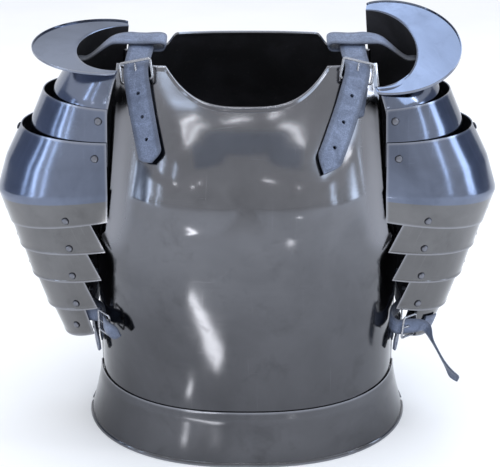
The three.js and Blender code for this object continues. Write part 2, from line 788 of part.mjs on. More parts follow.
// The shoulder strap runs from the back plate over the shoulder, through its buckle and down the chest.
function shoulderStrap(side, tag, tipInset, tipDrop) {
  const x = side * strapReach;
  const level = new THREE.Vector3(1, 0, 0);
  const onBack = strapOnBack.map(({ drop, lift }) => overSkin(
    backY,
    x,
    shoulderHeight * (1 - drop),
    layerOne + lift * leatherThickness,
  ));
  const overShoulder = strapOverShoulder.map(({ depth, crown }) => ({
    centre: new THREE.Vector3(x, depth * backDepth, shoulderHeight + crown * strapCrown),
    side: level,
  }));
  const backStations = [...onBack, ...overShoulder];
  const rises = [buckleRise, ...strapOnChest.map(({ lift }) => layerTwo + lift * leatherThickness)];
  const slant = 1.2;
  const frontStations = rises.map((rise, i) => {
    const t = i / (rises.length - 1);
    const height = lerp(shoulderHeight - buckleDrop, shoulderHeight - tipDrop, t);
    return overSkin(frontY, x - side * tipInset * t ** slant, height, rise);
  });
  const controls = [...backStations, ...frontStations];
  const perSpan = 3;
  const stations = smoothStations(controls, perSpan);
  const buckleIndex = backStations.length * perSpan;
  const frame = strapFrame(stations, buckleIndex);
  const fastened = buckle(frame, shoulderStrapWidth);
  const holes = strapHoles(stations, chestHoles.map((k) => buckleIndex + k));
  taperTip(stations, shoulderStrapWidth, [1, 0.9, 0.5]);
  const strip = ribbon(stations, shoulderStrapWidth, leatherThickness);
  addPiece(`shoulder_strap_${tag}`, cutAway(strip, [fastened.slot, ...holes]), leather);
  addPiece(`shoulder_buckle_${tag}`, fastened.ring, brightSteel);
  addPiece(`shoulder_tongue_${tag}`, fastened.tongue, brightSteel);
  const chapeTop = fastened.nearBar.z - buckleBar - 5 * fitGap;
  const chapeStations = [0, 0.3, 0.6, 0.86, 1].map((t) => overSkin(
    frontY,
    x - side * strapTipInsetLeft / 3 * t,
    lerp(chapeTop, shoulderHeight - chapeDrop, t),
    layerOne + fitGap,
  ));
  taperTip(chapeStations, shoulderStrapWidth, [1, 0.62]);
  addPiece(`shoulder_chape_${tag}`, ribbon(chapeStations, shoulderStrapWidth, leatherThickness), leather);
  const loopStation = (strapOnBack.length + 1) * perSpan + 1;
  return strapFrame(stations, loopStation);
}

// The pauldron strap is looped round the shoulder strap and runs out into the top plate.
function pauldronStrap(side, tag, over) {
  const loopRise = leatherThickness + fitGap;
  const underRise = 1.85 * loopRise;
  const at = (reach, rise) => over.centre.clone()
    .add(new THREE.Vector3(side * (reach - strapReach), 0, 0))
    .addScaledVector(over.normal, rise);
  const across = over.forward.clone();
  const level = new THREE.Vector3(0, -1, 0);
  const neck = hoopPoint(topPlateHoops.at(-1), side, 0);
  const wall = hoopPoint(topPlateHoops.at(-2), side, 0);
  const down = wall.clone().sub(neck).normalize();
  const inward = new THREE.Vector3(down.z, 0, -down.x).multiplyScalar(side);
  const standOff = layerOne + 1.4 * leatherThickness;
  const alongWall = (distance) => neck.clone()
    .addScaledVector(down, distance)
    .addScaledVector(inward, standOff);
  const halfStrap = shoulderStrapWidth / 2;
  const inner = strapReach - halfStrap - loopFold;
  const controls = [
    { centre: at(strapReach + halfStrap - loopLap, -underRise), side: across },
    { centre: at(strapReach - 0.2 * halfStrap, -underRise), side: across },
    { centre: at(inner, -underRise), side: across },
    { centre: at(inner - loopRise, 0), side: across },
    { centre: at(inner, loopRise), side: across },
    { centre: at(strapReach, loopRise), side: across },
    { centre: at(strapReach + halfStrap + loopLap, 1.2 * loopRise), side: across },
    { centre: at(strapReach + 2.3 * halfStrap, 0.33 * loopRise), side: across.clone().lerp(level, 0.4) },
    { centre: alongWall(loopLap).addScaledVector(inward, loopFold), side: level },
    { centre: alongWall(0.4 * strapTuck), side: level },
    { centre: alongWall(strapTuck), side: level },
  ];
  const stations = smoothStations(controls, 2);
  addPiece(`pauldron_strap_${tag}`, ribbon(stations, pauldronStrapWidth, leatherThickness), leather);
}

// The half width of the torso at a distance in front of or behind its sides.
function torsoReach(y, z) {
  const profile = y < 0 ? frontProfile : backProfile;
  const depth = (y < 0 ? frontDepth : backDepth) * readTable(profile, 'depth', z / shoulderHeight);
  return widthAt(profile, z) * (1 - (y / depth) ** 2) ** (1 / sideRounding);
}

function aroundTorso(side, y, z, rise) {
  const step = 0.5;
  const slope = (torsoReach(y + step, z) - torsoReach(y - step, z)) / (2 * step);
  const normal = new THREE.Vector3(side, -slope, 0).normalize();
  const centre = new THREE.Vector3(side * torsoReach(y, z), y, z).addScaledVector(normal, rise);
  return { centre, side: new THREE.Vector3(0, 0, 1) };
}

const sideHoles = [9, 11];

// The side strap comes from the back plate through a buckle at the front plate's edge.
function sideStrap(side, tag) {
  const z = sideStrapHeight * shoulderHeight;
  const layers = { one: layerOne, two: layerTwo, buckle: buckleRise };
  const controls = sideStrapPath.map(({ along, layer, lift, drop }) => aroundTorso(
    side,
    along * (along < 0 ? frontDepth : backDepth),
    z - drop * shoulderHeight,
    layers[layer] + lift * leatherThickness,
  ));
  const perSpan = 2;
  const stations = smoothStations(controls, perSpan);
  const frame = strapFrame(stations, 3 * perSpan);
  const fastened = buckle(frame, sideStrapWidth);
  const holes = strapHoles(stations, sideHoles);
  taperTip(stations, sideStrapWidth, [0.7]);
  const strip = ribbon(stations, sideStrapWidth, leatherThickness);
  addPiece(`side_strap_${tag}`, cutAway(strip, [fastened.slot, ...holes]), leather);
  addPiece(`side_buckle_${tag}`, fastened.ring, brightSteel);
  addPiece(`side_tongue_${tag}`, fastened.tongue, brightSteel);
  const chapeStart = fastened.nearBar.y - buckleBar / 2 - fitGap;
  const chape = [0, 0.35, 0.7, 1].map((t) => aroundTorso(
    side,
    chapeStart - t * sideStrapWidth,
    z,
    layerOne + fitGap,
  ));
  taperTip(chape, sideStrapWidth, [0.7]);
  addPiece(`side_chape_${tag}`, ribbon(chape, sideStrapWidth, leatherThickness), leather);
}

// The arm strap closes the lowest lame on the body's side and runs through a buckle at its front end.
function armStrap(side, tag, freeEnd, makeChape) {
  const hoops = lameHoops().at(-1);
  const hoop = hoopAt(hoops, 0.55);
  const endX = hoop.end * bodyHalfWidth;
  const endY = hoop.depth * pauldronDepth;
  const z = hoop.endHeight * shoulderHeight;
  const inside = endY - layerOne - 0.7 * leatherThickness;
  const upright = new THREE.Vector3(0, 0, 1);
  const edgeOn = new THREE.Vector3(0, -0.94, 0.34);
  const bodyEdge = torsoReach(0, z) + plateThickness / 2 + edgeBead;
  const clear = Math.max(bodyEdge + 1.3 * leatherThickness, endX);
  const place = (x, y, height = z, turn = 1) => ({
    centre: new THREE.Vector3(side * x, y, height),
    side: edgeOn.clone().lerp(upright, turn).normalize(),
  });
  const follow = (path) => path.map(({ out, back, drop, lift, turn }) => place(
    endX + out * pauldronReach,
    back * pauldronDepth - endY - lift * buckleRise,
    z - drop * shoulderHeight,
    turn,
  ));
  const controls = [
    ...armStrapInside.map(({ out, back }) => place(
      endX + out * pauldronReach,
      inside - back * pauldronDepth,
    )),
    place(clear, inside - armStrapAcross.rear * pauldronDepth),
    place(clear + fitGap, 0),
    place(clear, armStrapAcross.front * pauldronDepth - inside),
    ...follow(freeEnd),
  ];
  const perSpan = 2;
  const buckleAt = controls.length - freeEnd.length + freeEnd.findIndex((row) => row.buckle);
  const stations = smoothStations(controls, perSpan);
  taperTip(stations, armStrapWidth, [0.85, 0.5]);
  const fastened = buckle(strapFrame(stations, buckleAt * perSpan), armStrapWidth);
  const strip = ribbon(stations, armStrapWidth, leatherThickness);
  addPiece(`arm_strap_${tag}`, cutAway(strip, [fastened.slot]), leather);
  addPiece(`arm_buckle_${tag}`, fastened.ring, brightSteel);
  addPiece(`arm_tongue_${tag}`, fastened.tongue, brightSteel);
  const chape = makeChape(plateSurface(hoops, side), side, follow);
  addPiece(`arm_chape_${tag}`, ribbon(chape, armStrapWidth, leatherThickness), leather);
}

// The short strap that holds the buckle, laid on the outside of the lowest lame.
function chapeOutside(surface, side) {
  const down = 0.66;
  return [-0.62, -0.54, -0.46, -0.4].map((u) => {
    const normal = surfaceNormal(surface, u, down);
    if (normal.dot(new THREE.Vector3(side, -1, 0)) < 0) {
      normal.negate();
    }
    const centre = surface(u, down).addScaledVector(normal, layerOne + fitGap);
    return { centre, side: surface(u, down - 0.1).sub(surface(u, down + 0.1)).normalize() };
  });
}

// The same strap laid on the inside of the lame, towards the breastplate.
function chapeInside(surface, side, follow) {
  return follow(shortChape);
}

addPiece('breastplate', bodyPlate(frontProfile, frontY, neckline, 22, 11), steel);
addPiece('backplate', bodyPlate(backProfile, backY, collarLine, 16, 8), steel);
addPiece('breast_skirt', skirtPlate(frontProfile, frontY, 20), steel);
addPiece('back_skirt', skirtPlate(backProfile, backY, 16), steel);
pauldron(-1, 'left', flangePitchLeft);
pauldron(1, 'right', flangePitchRight);
pauldronStrap(-1, 'left', shoulderStrap(-1, 'left', strapTipInsetLeft, strapTipDropLeft));
pauldronStrap(1, 'right', shoulderStrap(1, 'right', strapTipInsetRight, strapTipDropRight));
sideStrap(-1, 'left');
sideStrap(1, 'right');
armStrap(-1, 'left', shortEnd, chapeInside);
armStrap(1, 'right', hangingEnd, chapeOutside);

export default model;
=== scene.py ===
import math

import bmesh
import bpy
from mathutils import Matrix, Vector


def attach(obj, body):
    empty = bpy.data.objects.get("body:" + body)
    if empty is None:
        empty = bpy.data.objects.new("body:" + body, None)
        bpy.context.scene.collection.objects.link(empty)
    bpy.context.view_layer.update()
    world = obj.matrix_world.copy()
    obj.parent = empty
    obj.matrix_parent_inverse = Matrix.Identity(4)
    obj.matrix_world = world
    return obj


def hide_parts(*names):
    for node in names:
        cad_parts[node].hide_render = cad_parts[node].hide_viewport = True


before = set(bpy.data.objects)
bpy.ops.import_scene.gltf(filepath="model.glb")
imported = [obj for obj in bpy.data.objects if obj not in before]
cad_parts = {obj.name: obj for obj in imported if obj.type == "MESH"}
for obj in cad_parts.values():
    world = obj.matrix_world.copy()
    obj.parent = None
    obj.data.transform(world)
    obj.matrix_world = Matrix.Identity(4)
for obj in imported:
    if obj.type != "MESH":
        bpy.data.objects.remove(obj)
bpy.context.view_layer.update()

bl_info = {
    "name": "Steel Breastplate",
    "version": (1, 0, 0),
    "blender": (4, 5, 0),
    "location": "View3D > Sidebar > Armour",
    "description": "Builds a polished steel breastplate with back plate, skirt, pauldrons and leather straps",
    "category": "Add Mesh",
}

# Lengths below are in millimetres; meshes are made in metres.
MM = 0.001

# Sizes of the body
plate_thickness = 1.2
body_half_width = 183
front_depth = 150
back_depth = 143.6
shoulder_height = 453
collar_height = 468
collar_half_width = 0.459 * body_half_width
neckline_height = 418
neck_half_width = 0.492 * body_half_width
side_gap = 7
edge_bead = 1.5
bead_width = 5
pectoral_rise = 8
neck_curve = 3.2
collar_drop_share = 0.25
edge_flare = 4.2
edge_flare_width = 16
neck_share = 0.6
side_rounding = 2.4

# Sizes of the skirt
skirt_height = 66
skirt_overlap = 18
skirt_flare = 13
skirt_gap = 0.7
flare_curve = 1.4
body_bottom = skirt_height - skirt_overlap

# Sizes of the pauldrons
pauldron_reach = body_half_width + 115
pauldron_depth = 0.64 * front_depth
lame_gap = 1.2
flange_width = 50
flange_lip = 2.2
flange_rise = 4
rivet_head_radius = 4.4
rivet_head_height = 2.2
pivot_play = 1.6

# Sizes of the leather and its buckles
leather_thickness = 2.6
shoulder_strap_width = 29
pauldron_strap_width = 27
side_strap_width = 24
arm_strap_width = 19
strap_reach = 0.661 * body_half_width
strap_crown = 22
chape_drop = 49
buckle_drop = 9
loop_fold = 10
loop_lap = 4
strap_tuck = 30
strap_hole_radius = 2.2
fit_gap = 0.4
buckle_bar = 3.2
buckle_length = 26
buckle_tilt = math.radians(27)
tongue_radius = 1.3

# Heights are shares of shoulder_height, widths of body_half_width, depths of front_depth or back_depth.
front_profile = [
    {"height": 0.00, "width": 1.012, "depth": 0.900},
    {"height": 0.14, "width": 1.000, "depth": 0.910},
    {"height": 0.33, "width": 0.995, "depth": 0.935},
    {"height": 0.54, "width": 1.000, "depth": 0.985},
    {"height": 0.66, "width": 0.997, "depth": 0.990},
    {"height": 0.77, "width": 0.975, "depth": 0.920},
    {"height": 0.88, "width": 0.940, "depth": 0.700},
    {"height": 1.00, "width": 0.905, "depth": 0.300},
]
back_profile = [
    {"height": 0.00, "width": 1.012, "depth": 0.940},
    {"height": 0.14, "width": 1.000, "depth": 0.940},
    {"height": 0.33, "width": 0.995, "depth": 0.920},
    {"height": 0.54, "width": 1.000, "depth": 0.990},
    {"height": 0.70, "width": 0.997, "depth": 1.030},
    {"height": 0.82, "width": 0.970, "depth": 0.980},
    {"height": 0.93, "width": 0.930, "depth": 0.790},
    {"height": 1.04, "width": 0.900, "depth": 0.560},
]
armhole_profile = [
    {"height": 0.00, "reach": 1.030},
    {"height": 0.52, "reach": 1.020},
    {"height": 0.555, "reach": 0.960},
    {"height": 0.60, "reach": 0.905},
    {"height": 0.68, "reach": 0.862},
    {"height": 0.75, "reach": 0.838},
    {"height": 0.82, "reach": 0.826},
    {"height": 0.91, "reach": 0.818},
    {"height": 1.00, "reach": 0.800},
]

# Hoops of the pauldrons: out, out_height, end, end_height, depth.
top_plate_hoops = [
    (0.785, 0.868, 0.847, 0.862, 0.876),
    (0.745, 0.940, 0.830, 0.920, 0.845),
    (0.655, 1.030, 0.774, 1.030, 0.660),
]
second_plate_hoops = [
    (0.789, 0.932, 0.834, 0.918, 0.878),
    (0.840, 0.860, 0.839, 0.850, 0.910),
    (0.872, 0.776, 0.844, 0.778, 0.945),
]
third_plate_hoops = [
    (0.886, 0.841, 0.844, 0.838, 0.945),
    (0.955, 0.755, 0.847, 0.770, 0.975),
    (1.000, 0.667, 0.850, 0.705, 1.000),
    (0.985, 0.632, 0.855, 0.678, 0.985),
    (0.962, 0.578, 0.863, 0.632, 0.950),
]
lame_edges = {
    "upper_lame": (0.930, 0.510, 0.888, 0.545, 0.880),
    "second_lame": (0.889, 0.426, 0.928, 0.459, 0.795),
    "third_lame": (0.836, 0.338, 0.972, 0.369, 0.700),
    "lowest_lame": (0.772, 0.254, 1.013, 0.283, 0.600),
}
lame_slants = {"upper_lame": 22, "second_lame": 22, "third_lame": 20, "lowest_lame": 13}
lame_overlap_share = 0.34
pivot_rows = {"second_plate": 0.22, "third_plate": 0.14, "third_plate_lower": 0.9, "lame": 0.83}
top_pivot_u = 0.93
lame_pivot_u = 0.76

# Rows of the top plates' meshes beyond the wall, closer together where the lip turns up
top_plate_rows = [0.52, 0.54, 0.56, 0.60, 0.65, 0.70, 0.75, 0.80, 0.84, 0.86, 0.88, 0.895, 0.92, 0.96, 1.0]
# The share of the third plates' height from which the steel below the crease is less blue: there the painted blue
# reflection stops and the lame steel takes over
crease_share = 0.62
# The share of the upper lames' height that is left out under the third plates
hidden_share = 0.05

# Routes of the straps, in the same shares as the solids.
strap_on_back = [(0.121, 0.23), (0.066, 0.31), (0.013, 1.54)]
strap_over_shoulder = [(0.360, 0.82), (0.100, 1.00), (-0.094, 0.59)]
strap_on_chest = [0.92, 0.23, 0.23, 0.23]
strap_tip = {"left": (21, 89), "right": (40, 97)}
chest_holes = [3, 6, 9]
side_strap_height = 0.262
side_strap_path = [
    (0.40, "one", 0.15, 0.0),
    (0.26, "one", 0.23, 0.0),
    (0.12, "two", 0.38, 0.0),
    (-0.02, "buckle", 0.38, 0.0),
    (-0.14, "two", 1.54, 0.004),
    (-0.24, "two", 1.35, 0.015),
    (-0.34, "two", 1.54, 0.029),
]
side_holes = [9, 11]
arm_strap_inside = [(0.060, 0.038), (0.020, 0.006), (-0.005, 0.073)]
arm_strap_across = (0.354, 0.292)
hanging_end = [
    (-0.017, 0.109, 0.007, 0, 1),
    (-0.023, -0.031, 0.015, 0, 1),
    (0.000, -0.010, 0.022, 1, 1),
    (0.047, 0.016, 0.022, 1, 1),
    (0.111, 0.073, 0.033, 1, 0.7),
    (0.151, 0.062, 0.075, 1, 0),
    (0.201, 0.042, 0.132, 1, 0),
    (0.262, 0.021, 0.190, 1, 0.7),
]
short_end = [
    (-0.0175, 0.151, 0, 0, 1),
    (-0.0335, -0.031, 0, 0, 1),
    (-0.0370, -0.198, 0, 0, 1),
    (-0.0640, -0.354, 0.004, 0, 1),
    (-0.1110, -0.458, 0.011, 0, 1),
]
short_chape = [
    (0.0470, 0.076, 0, 0, 1),
    (0.0168, 0.051, 0, 0, 1),
    (-0.0154, 0.022, 0, 0, 1),
    (-0.0188, -0.031, 0, 0, 1),
    (-0.0188, -0.080, 0, 0, 1),
]

# Painted shade: the pauldron straps are painted dark inside the top plates, beyond this distance from the middle
inside_from = 156

# Lamps of the stage: place in metres, direction of the length, length, width, brightness and colour.
# Those near the floor face up, the others face the object.
white = (1.0, 1.0, 1.0)
daylight = (0.66, 0.80, 1.0)
upright = (0, 0, 1)
sideways = (1, 0, 0)
stage_lamps = [
    ("floor_light", (0.0, 0.3, 2.9), sideways, 2.4, 2.0, 1.05, white),
    ("ceiling_tube_1", (-0.60, -0.66, 2.24), (0.85, 0.50, 0.1), 0.36, 0.040, 11, white),
    ("ceiling_tube_2", (-0.56, -0.80, 2.20), (0.88, 0.40, 0.1), 0.34, 0.030, 10, white),
    ("ceiling_tube_3", (-0.10, -0.63, 2.33), (0.85, 0.50, 0.1), 0.20, 0.035, 10, white),
    ("ceiling_tube_4", (0.22, -0.53, 2.36), (0.1, 1.0, 0.0), 0.12, 0.040, 10, white),
    ("ceiling_tube_5", (0.48, -0.79, 2.22), (0.90, -0.38, 0.1), 0.34, 0.035, 11, white),
    ("ceiling_patch", (-0.62, -0.41, 2.32), sideways, 0.36, 0.080, 5, daylight),
    ("front_spot_1", (-1.30, -1.42, 1.27), sideways, 0.08, 0.05, 12, white),
    ("front_spot_2", (-0.58, -1.79, 1.35), sideways, 0.08, 0.05, 12, white),
    ("front_spot_3", (-0.30, -1.73, 1.52), sideways, 0.06, 0.05, 12, white),
    ("front_spot_4", (0.51, -1.82, 1.33), sideways, 0.08, 0.05, 12, white),
    ("left_window_1", (-2.00, -0.72, 0.42), upright, 0.9, 0.09, 6.5, daylight),
    ("left_window_2", (-1.86, -1.06, 0.45), upright, 0.9, 0.05, 6, daylight),
    ("left_window_3", (-2.06, -0.34, 0.60), upright, 1.0, 0.06, 6, daylight),
    ("left_high_window_1", (-1.58, -0.88, 1.56), upright, 0.5, 0.07, 7, daylight),
    ("left_high_window_2", (-1.25, -1.22, 1.64), upright, 0.5, 0.04, 6, daylight),
    ("right_window_1", (2.12, -0.28, 0.55), upright, 0.9, 0.34, 4, daylight),
    ("right_window_2", (1.84, -1.10, 0.55), upright, 0.9, 0.10, 4, daylight),
    ("right_high_window", (1.50, -0.72, 1.72), upright, 0.9, 1.05, 2.4, daylight),
    ("right_high_tube", (1.72, -0.44, 1.62), upright, 0.9, 0.13, 8, white),
    ("left_back_window", (-0.45, 1.75, 1.60), sideways, 0.9, 0.5, 0.12, daylight),
    ("right_back_window", (0.36, 0.95, 2.20), sideways, 0.9, 0.8, 2.4, daylight),
    ("low_lamp_1", (-0.145, -0.370, 0.004), (0.86, 0.51, 0), 0.19, 0.034, 7, white),
    ("low_lamp_2", (-0.134, -0.248, 0.004), (0.2, 1.0, 0), 0.03, 0.012, 6, white),
    ("low_lamp_3", (0.285, -0.810, 0.004), sideways, 0.06, 0.06, 7, white),
]
# Screens at the sides and above, seen only in the polished steel: middle, half length, half height, cloth.
screens = [
    ("left_screen", (-2.35, 0.40, 0.62), (0, 1.20, 0), (0, 0, 0.65), "dark_cloth"),
    ("right_screen", (2.35, 0.80, 0.62), (0, 0.95, 0), (0, 0, 0.65), "dark_cloth"),
    ("ceiling_screen", (0.05, -1.55, 2.70), (0.75, 0, 0), (0, 0.42, 0.05), "pale_cloth"),
]
# Colours of the screens' cloth: the painted fold shade, then the smooth cloth
cloths = {
    "dark_cloth": ((0.10, 0.12, 0.17), (0.30, 0.34, 0.44)),
    "pale_cloth": ((0.62, 0.66, 0.74), (0.74, 0.77, 0.82)),
}


# Sizes and colours a user would change

class ArmourSteelSettings(bpy.types.PropertyGroup):
    dark_tone: bpy.props.FloatVectorProperty(
        name="Body steel", description="Reflected colour of the body plates", subtype="COLOR",
        size=3, min=0, max=1, default=(0.143, 0.145, 0.157))
    # Painted reflection: the pauldron steel is tinted blue for the blue daylight that it reflects
    painted_sky_blue_tone: bpy.props.FloatVectorProperty(
        name="Shoulder steel", description="Reflected colour of the pauldron plates", subtype="COLOR",
        size=3, min=0, max=1, default=(0.132, 0.152, 0.205))
    lame_tone: bpy.props.FloatVectorProperty(
        name="Lame steel", description="Reflected colour of the lames", subtype="COLOR",
        size=3, min=0, max=1, default=(0.146, 0.145, 0.148))
    inside_tone: bpy.props.FloatVectorProperty(
        name="Inside", description="Colour of the unpolished inside faces", subtype="COLOR",
        size=3, min=0, max=1, default=(0.012, 0.012, 0.015))
    polish: bpy.props.FloatProperty(
        name="Roughness", description="Roughness of the polished faces", subtype="FACTOR",
        min=0, max=1, default=0.11)
    wave_depth: bpy.props.FloatProperty(
        name="Hammer waves", description="Depth of the shallow waves left by hammering",
        unit="LENGTH", min=0, max=0.002, default=0.0004)


class ArmourLeatherSettings(bpy.types.PropertyGroup):
    # Painted reflection: the dark leather's dye and worn colours are lifted and tinted blue for the blue sky light
    # that it reflects
    dye_with_blue_reflection: bpy.props.FloatVectorProperty(
        name="Dye", description="Colour of the leather's grain side", subtype="COLOR",
        size=3, min=0, max=1, default=(0.072, 0.096, 0.160))
    worn: bpy.props.FloatVectorProperty(
        name="Worn dye", description="Colour where the leather is rubbed", subtype="COLOR",
        size=3, min=0, max=1, default=(0.155, 0.195, 0.300))
    grain_size: bpy.props.FloatProperty(
        name="Grain size", description="Size of one grain pebble", unit="LENGTH",
        min=0.0002, max=0.01, default=0.0016)


class ArmourBuckleSettings(bpy.types.PropertyGroup):
    tone: bpy.props.FloatVectorProperty(
        name="Buckle steel", description="Reflected colour of the buckles", subtype="COLOR",
        size=3, min=0, max=1, default=(0.34, 0.345, 0.37))
    polish: bpy.props.FloatProperty(
        name="Roughness", description="Roughness of the buckles", subtype="FACTOR",
        min=0, max=1, default=0.22)


class ArmourStageSettings(bpy.types.PropertyGroup):
    camera_distance: bpy.props.FloatProperty(
        name="Camera distance", description="From the camera to the middle of the object",
        unit="LENGTH", min=0.2, max=10, default=1.3)
    camera_height: bpy.props.FloatProperty(
        name="Camera elevation", description="Angle of the camera above the object's middle",
        subtype="ANGLE", min=0, max=1.5, default=math.radians(22))
    lamp_brightness: bpy.props.FloatProperty(
        name="Lamp brightness", description="Share of the brightness of all the lamps",
        min=0, max=10, default=1)
    sky: bpy.props.FloatVectorProperty(
        name="Surroundings", description="Colour of the even light around", subtype="COLOR",
        size=3, min=0, max=1, default=(0.86, 0.88, 0.92))
    sky_strength: bpy.props.FloatProperty(
        name="Surroundings strength", description="Strength of the even light around",
        min=0, max=10, default=1.12)


# Shader maths

class Signal:
    """A shader socket that takes part in plain sums, products and powers."""

    def __init__(self, tree, socket):
        self.tree = tree
        self.socket = socket

    def combine(self, operation, first, second):
        node = self.tree.nodes.new("ShaderNodeMath")
        node.operation = operation
        for slot, value in zip(node.inputs, (first, second)):
            if isinstance(value, Signal):
                self.tree.links.new(value.socket, slot)
            else:
                slot.default_value = value
        return Signal(self.tree, node.outputs[0])

    def __add__(self, other):
        return self.combine("ADD", self, other)

    def __radd__(self, other):
        return self.combine("ADD", other, self)

    def __sub__(self, other):
        return self.combine("SUBTRACT", self, other)

    def __rsub__(self, other):
        return self.combine("SUBTRACT", other, self)

    def __mul__(self, other):
        return self.combine("MULTIPLY", self, other)

    def __rmul__(self, other):
        return self.combine("MULTIPLY", other, self)

    def __truediv__(self, other):
        return self.combine("DIVIDE", self, other)

    def __rtruediv__(self, other):
        return self.combine("DIVIDE", other, self)

    def __pow__(self, other):
        return self.combine("POWER", self, other)


class Shader:
    """A material under construction: its nodes, coordinates and main surface."""

    def __init__(self, name):
        self.material = bpy.data.materials.new(name)
        self.material.use_nodes = True
        self.tree = self.material.node_tree
        self.surface = next(n for n in self.tree.nodes if n.type == "BSDF_PRINCIPLED")

    def add(self, kind, settings=None, values=None, out=0):
        node = self.tree.nodes.new(kind)
        for key, value in (settings or {}).items():
            if key == "stops":
                ramp = node.color_ramp
                while len(ramp.elements) < len(value):
                    ramp.elements.new(0.5)
                for element, (place, colour) in zip(ramp.elements, value):
                    element.position = place
                    element.color = (*colour, 1) if isinstance(colour, tuple) else (colour, colour, colour, 1)
            else:
                setattr(node, key, value)
        for key, value in (values or {}).items():
            self.feed(node.inputs[key], value)
        return Signal(self.tree, node.outputs[out])

    def feed(self, slot, value):
        if isinstance(value, Signal):
            self.tree.links.new(value.socket, slot)
        elif hasattr(slot.default_value, "__len__") and len(slot.default_value) == 4 and len(value) == 3:
            slot.default_value = (*value, 1)
        else:
            slot.default_value = value

    def set(self, **values):
        for key, value in values.items():
            self.feed(self.surface.inputs[key.replace("_", " ")], value)

    def place(self):
        return self.add("ShaderNodeTexCoord", out="Object")

    def along(self):
        return self.add("ShaderNodeUVMap")

    def stretched(self, source, scale, turn=0.0):
        return self.add("ShaderNodeMapping", None, {
            "Vector": source, "Scale": scale, "Rotation": (0, 0, turn)})

    def noise(self, vector, scale, detail=3.0, rough=0.5, distortion=0.0):
        return self.add("ShaderNodeTexNoise", {"noise_dimensions": "3D"}, {
            "Vector": vector, "Scale": scale, "Detail": detail, "Roughness": rough, "Distortion": distortion})

    def spread(self, value, low, high, to_low=0.0, to_high=1.0):
        return self.add("ShaderNodeMapRange", {"clamp": True, "interpolation_type": "SMOOTHSTEP"}, {
            "Value": value, "From Min": low, "From Max": high, "To Min": to_low, "To Max": to_high})

    def mix(self, factor, first, second, blend="MIX"):
        return self.add("ShaderNodeMix", {"data_type": "RGBA", "blend_type": blend}, {
            0: factor, 6: first, 7: second}, out=2)

    def mark(self, name):
        return self.add("ShaderNodeAttribute", {"attribute_name": name}, out="Fac")

    def bump(self, height, distance, strength=1.0, normal=None):
        values = {"Height": height, "Distance": distance, "Strength": strength}
        if normal is not None:
            values["Normal"] = normal
        return self.add("ShaderNodeBump", None, values)


materials = {}


def keep_material(name, build):
    if name not in materials:
        shader = Shader(name)
        build(shader)
        materials[name] = shader.material
    return materials[name]


def scaled(colour, share):
    return tuple(min(c * share, 1.0) for c in colour)


def polished_steel(tone, clouding, hem_shade):
    """Dark polished plate steel: cloudy tone, hammer waves, fine scratches, rubbed edges.

    The last argument is the share of its brightness that it loses towards the hem: painted shade for the dim
    reflection of the shadowed floor there."""
    settings = bpy.context.scene.armour_steel

    def build(shader):
        place = shader.place()
        along = shader.along()
        clouds = shader.noise(place, 7.0, 5.0, 0.6, 0.4)
        stains = shader.spread(shader.noise(place, 26.0, 6.0, 0.65, 0.3), 0.52, 0.74)
        lengthwise = shader.noise(shader.stretched(along, (14.0, 900.0, 1.0)), 1.0, 2.0, 0.6)
        crosswise = shader.noise(shader.stretched(along, (700.0, 9.0, 1.0), 0.35), 1.0, 2.0, 0.6)
        scratches = shader.spread(lengthwise, 0.66, 0.74) * 0.7 + shader.spread(crosswise, 0.68, 0.75)
        rubbed = shader.spread(shader.mark("edge") * (0.65 + clouds * 0.7), 0.35, 0.95)
        base = shader.mix(
            shader.spread(clouds, 0.3, 0.7),
            scaled(tone, 1 - 0.13 * clouding), scaled(tone, 1 + 0.15 * clouding))
        base = shader.mix(stains * 0.35, base, scaled(tone, 0.55))
        # Painted shade: darker towards the hem, for the dim reflection of the shadowed floor near it
        if hem_shade:
            height = shader.add("ShaderNodeSeparateXYZ", None, {"Vector": place}, out="Z")
            base = shader.mix((1 - shader.spread(height, 0.10, 0.36)) * hem_shade, base, (0, 0, 0))
        base = shader.mix(scratches * 0.14, base, scaled(tone, 2.0))
        flattened = shader.mark("flattened")
        # Painted light: the marked strips beside the arms are painted nearly twice as bright
        base = shader.mix(flattened * 0.8, base, scaled(tone, 1.9))
        base = shader.mix(rubbed * 0.5, base, (0.36, 0.37, 0.41))
        shader.set(
            Base_Color=base, Metallic=1.0,
            Roughness=settings.polish + shader.spread(clouds, 0.25, 0.75) * 0.06
            + stains * 0.10 + scratches * 0.08 + rubbed * 0.08 + flattened * 0.22)
        waves = shader.noise(place, 9.0, 1.0, 0.4, 0.6) * 0.6 + shader.noise(place, 24.0, 1.0, 0.4) * 0.25
        rolled = shader.bump(waves, settings.wave_depth * 2.4)
        fine = shader.noise(place, 900.0, 3.0, 0.6) * 0.25 + scratches * -0.6
        shader.set(Normal=shader.bump(fine, 0.00004, 0.6, rolled))

    return build


def raw_inside(shader):
    """The unpolished inside of a plate: forge-black, faintly rubbed and dusty."""
    tone = bpy.context.scene.armour_steel.inside_tone
    place = shader.place()
    patches = shader.spread(shader.noise(place, 18.0, 6.0, 0.65, 0.5), 0.40, 0.72)
    specks = shader.spread(shader.noise(place, 260.0, 4.0, 0.7), 0.58, 0.72)
    base = shader.mix(patches, tone, scaled(tone, 2.6))
    base = shader.mix(specks * 0.4, base, (0.05, 0.048, 0.046))
    shader.set(Base_Color=base, Metallic=0.35, Roughness=0.62 + patches * 0.18 - specks * 0.12)
    shader.set(Normal=shader.bump(shader.noise(place, 420.0, 5.0, 0.7), 0.0002, 0.5))


def rivet_steel(shader):
    """Blackened rivet heads, bright where they stick out furthest."""
    place = shader.place()
    grime = shader.noise(place, 380.0, 4.0, 0.6)
    worn = shader.spread(shader.mark("edge") * (0.7 + grime * 0.6), 0.45, 1.0)
    base = shader.mix(worn, (0.030, 0.031, 0.038), (0.17, 0.175, 0.20))
    shader.set(Base_Color=base, Metallic=1.0, Roughness=0.42 - worn * 0.14 + grime * 0.08)
    shader.set(Normal=shader.bump(grime, 0.00025, 0.5))


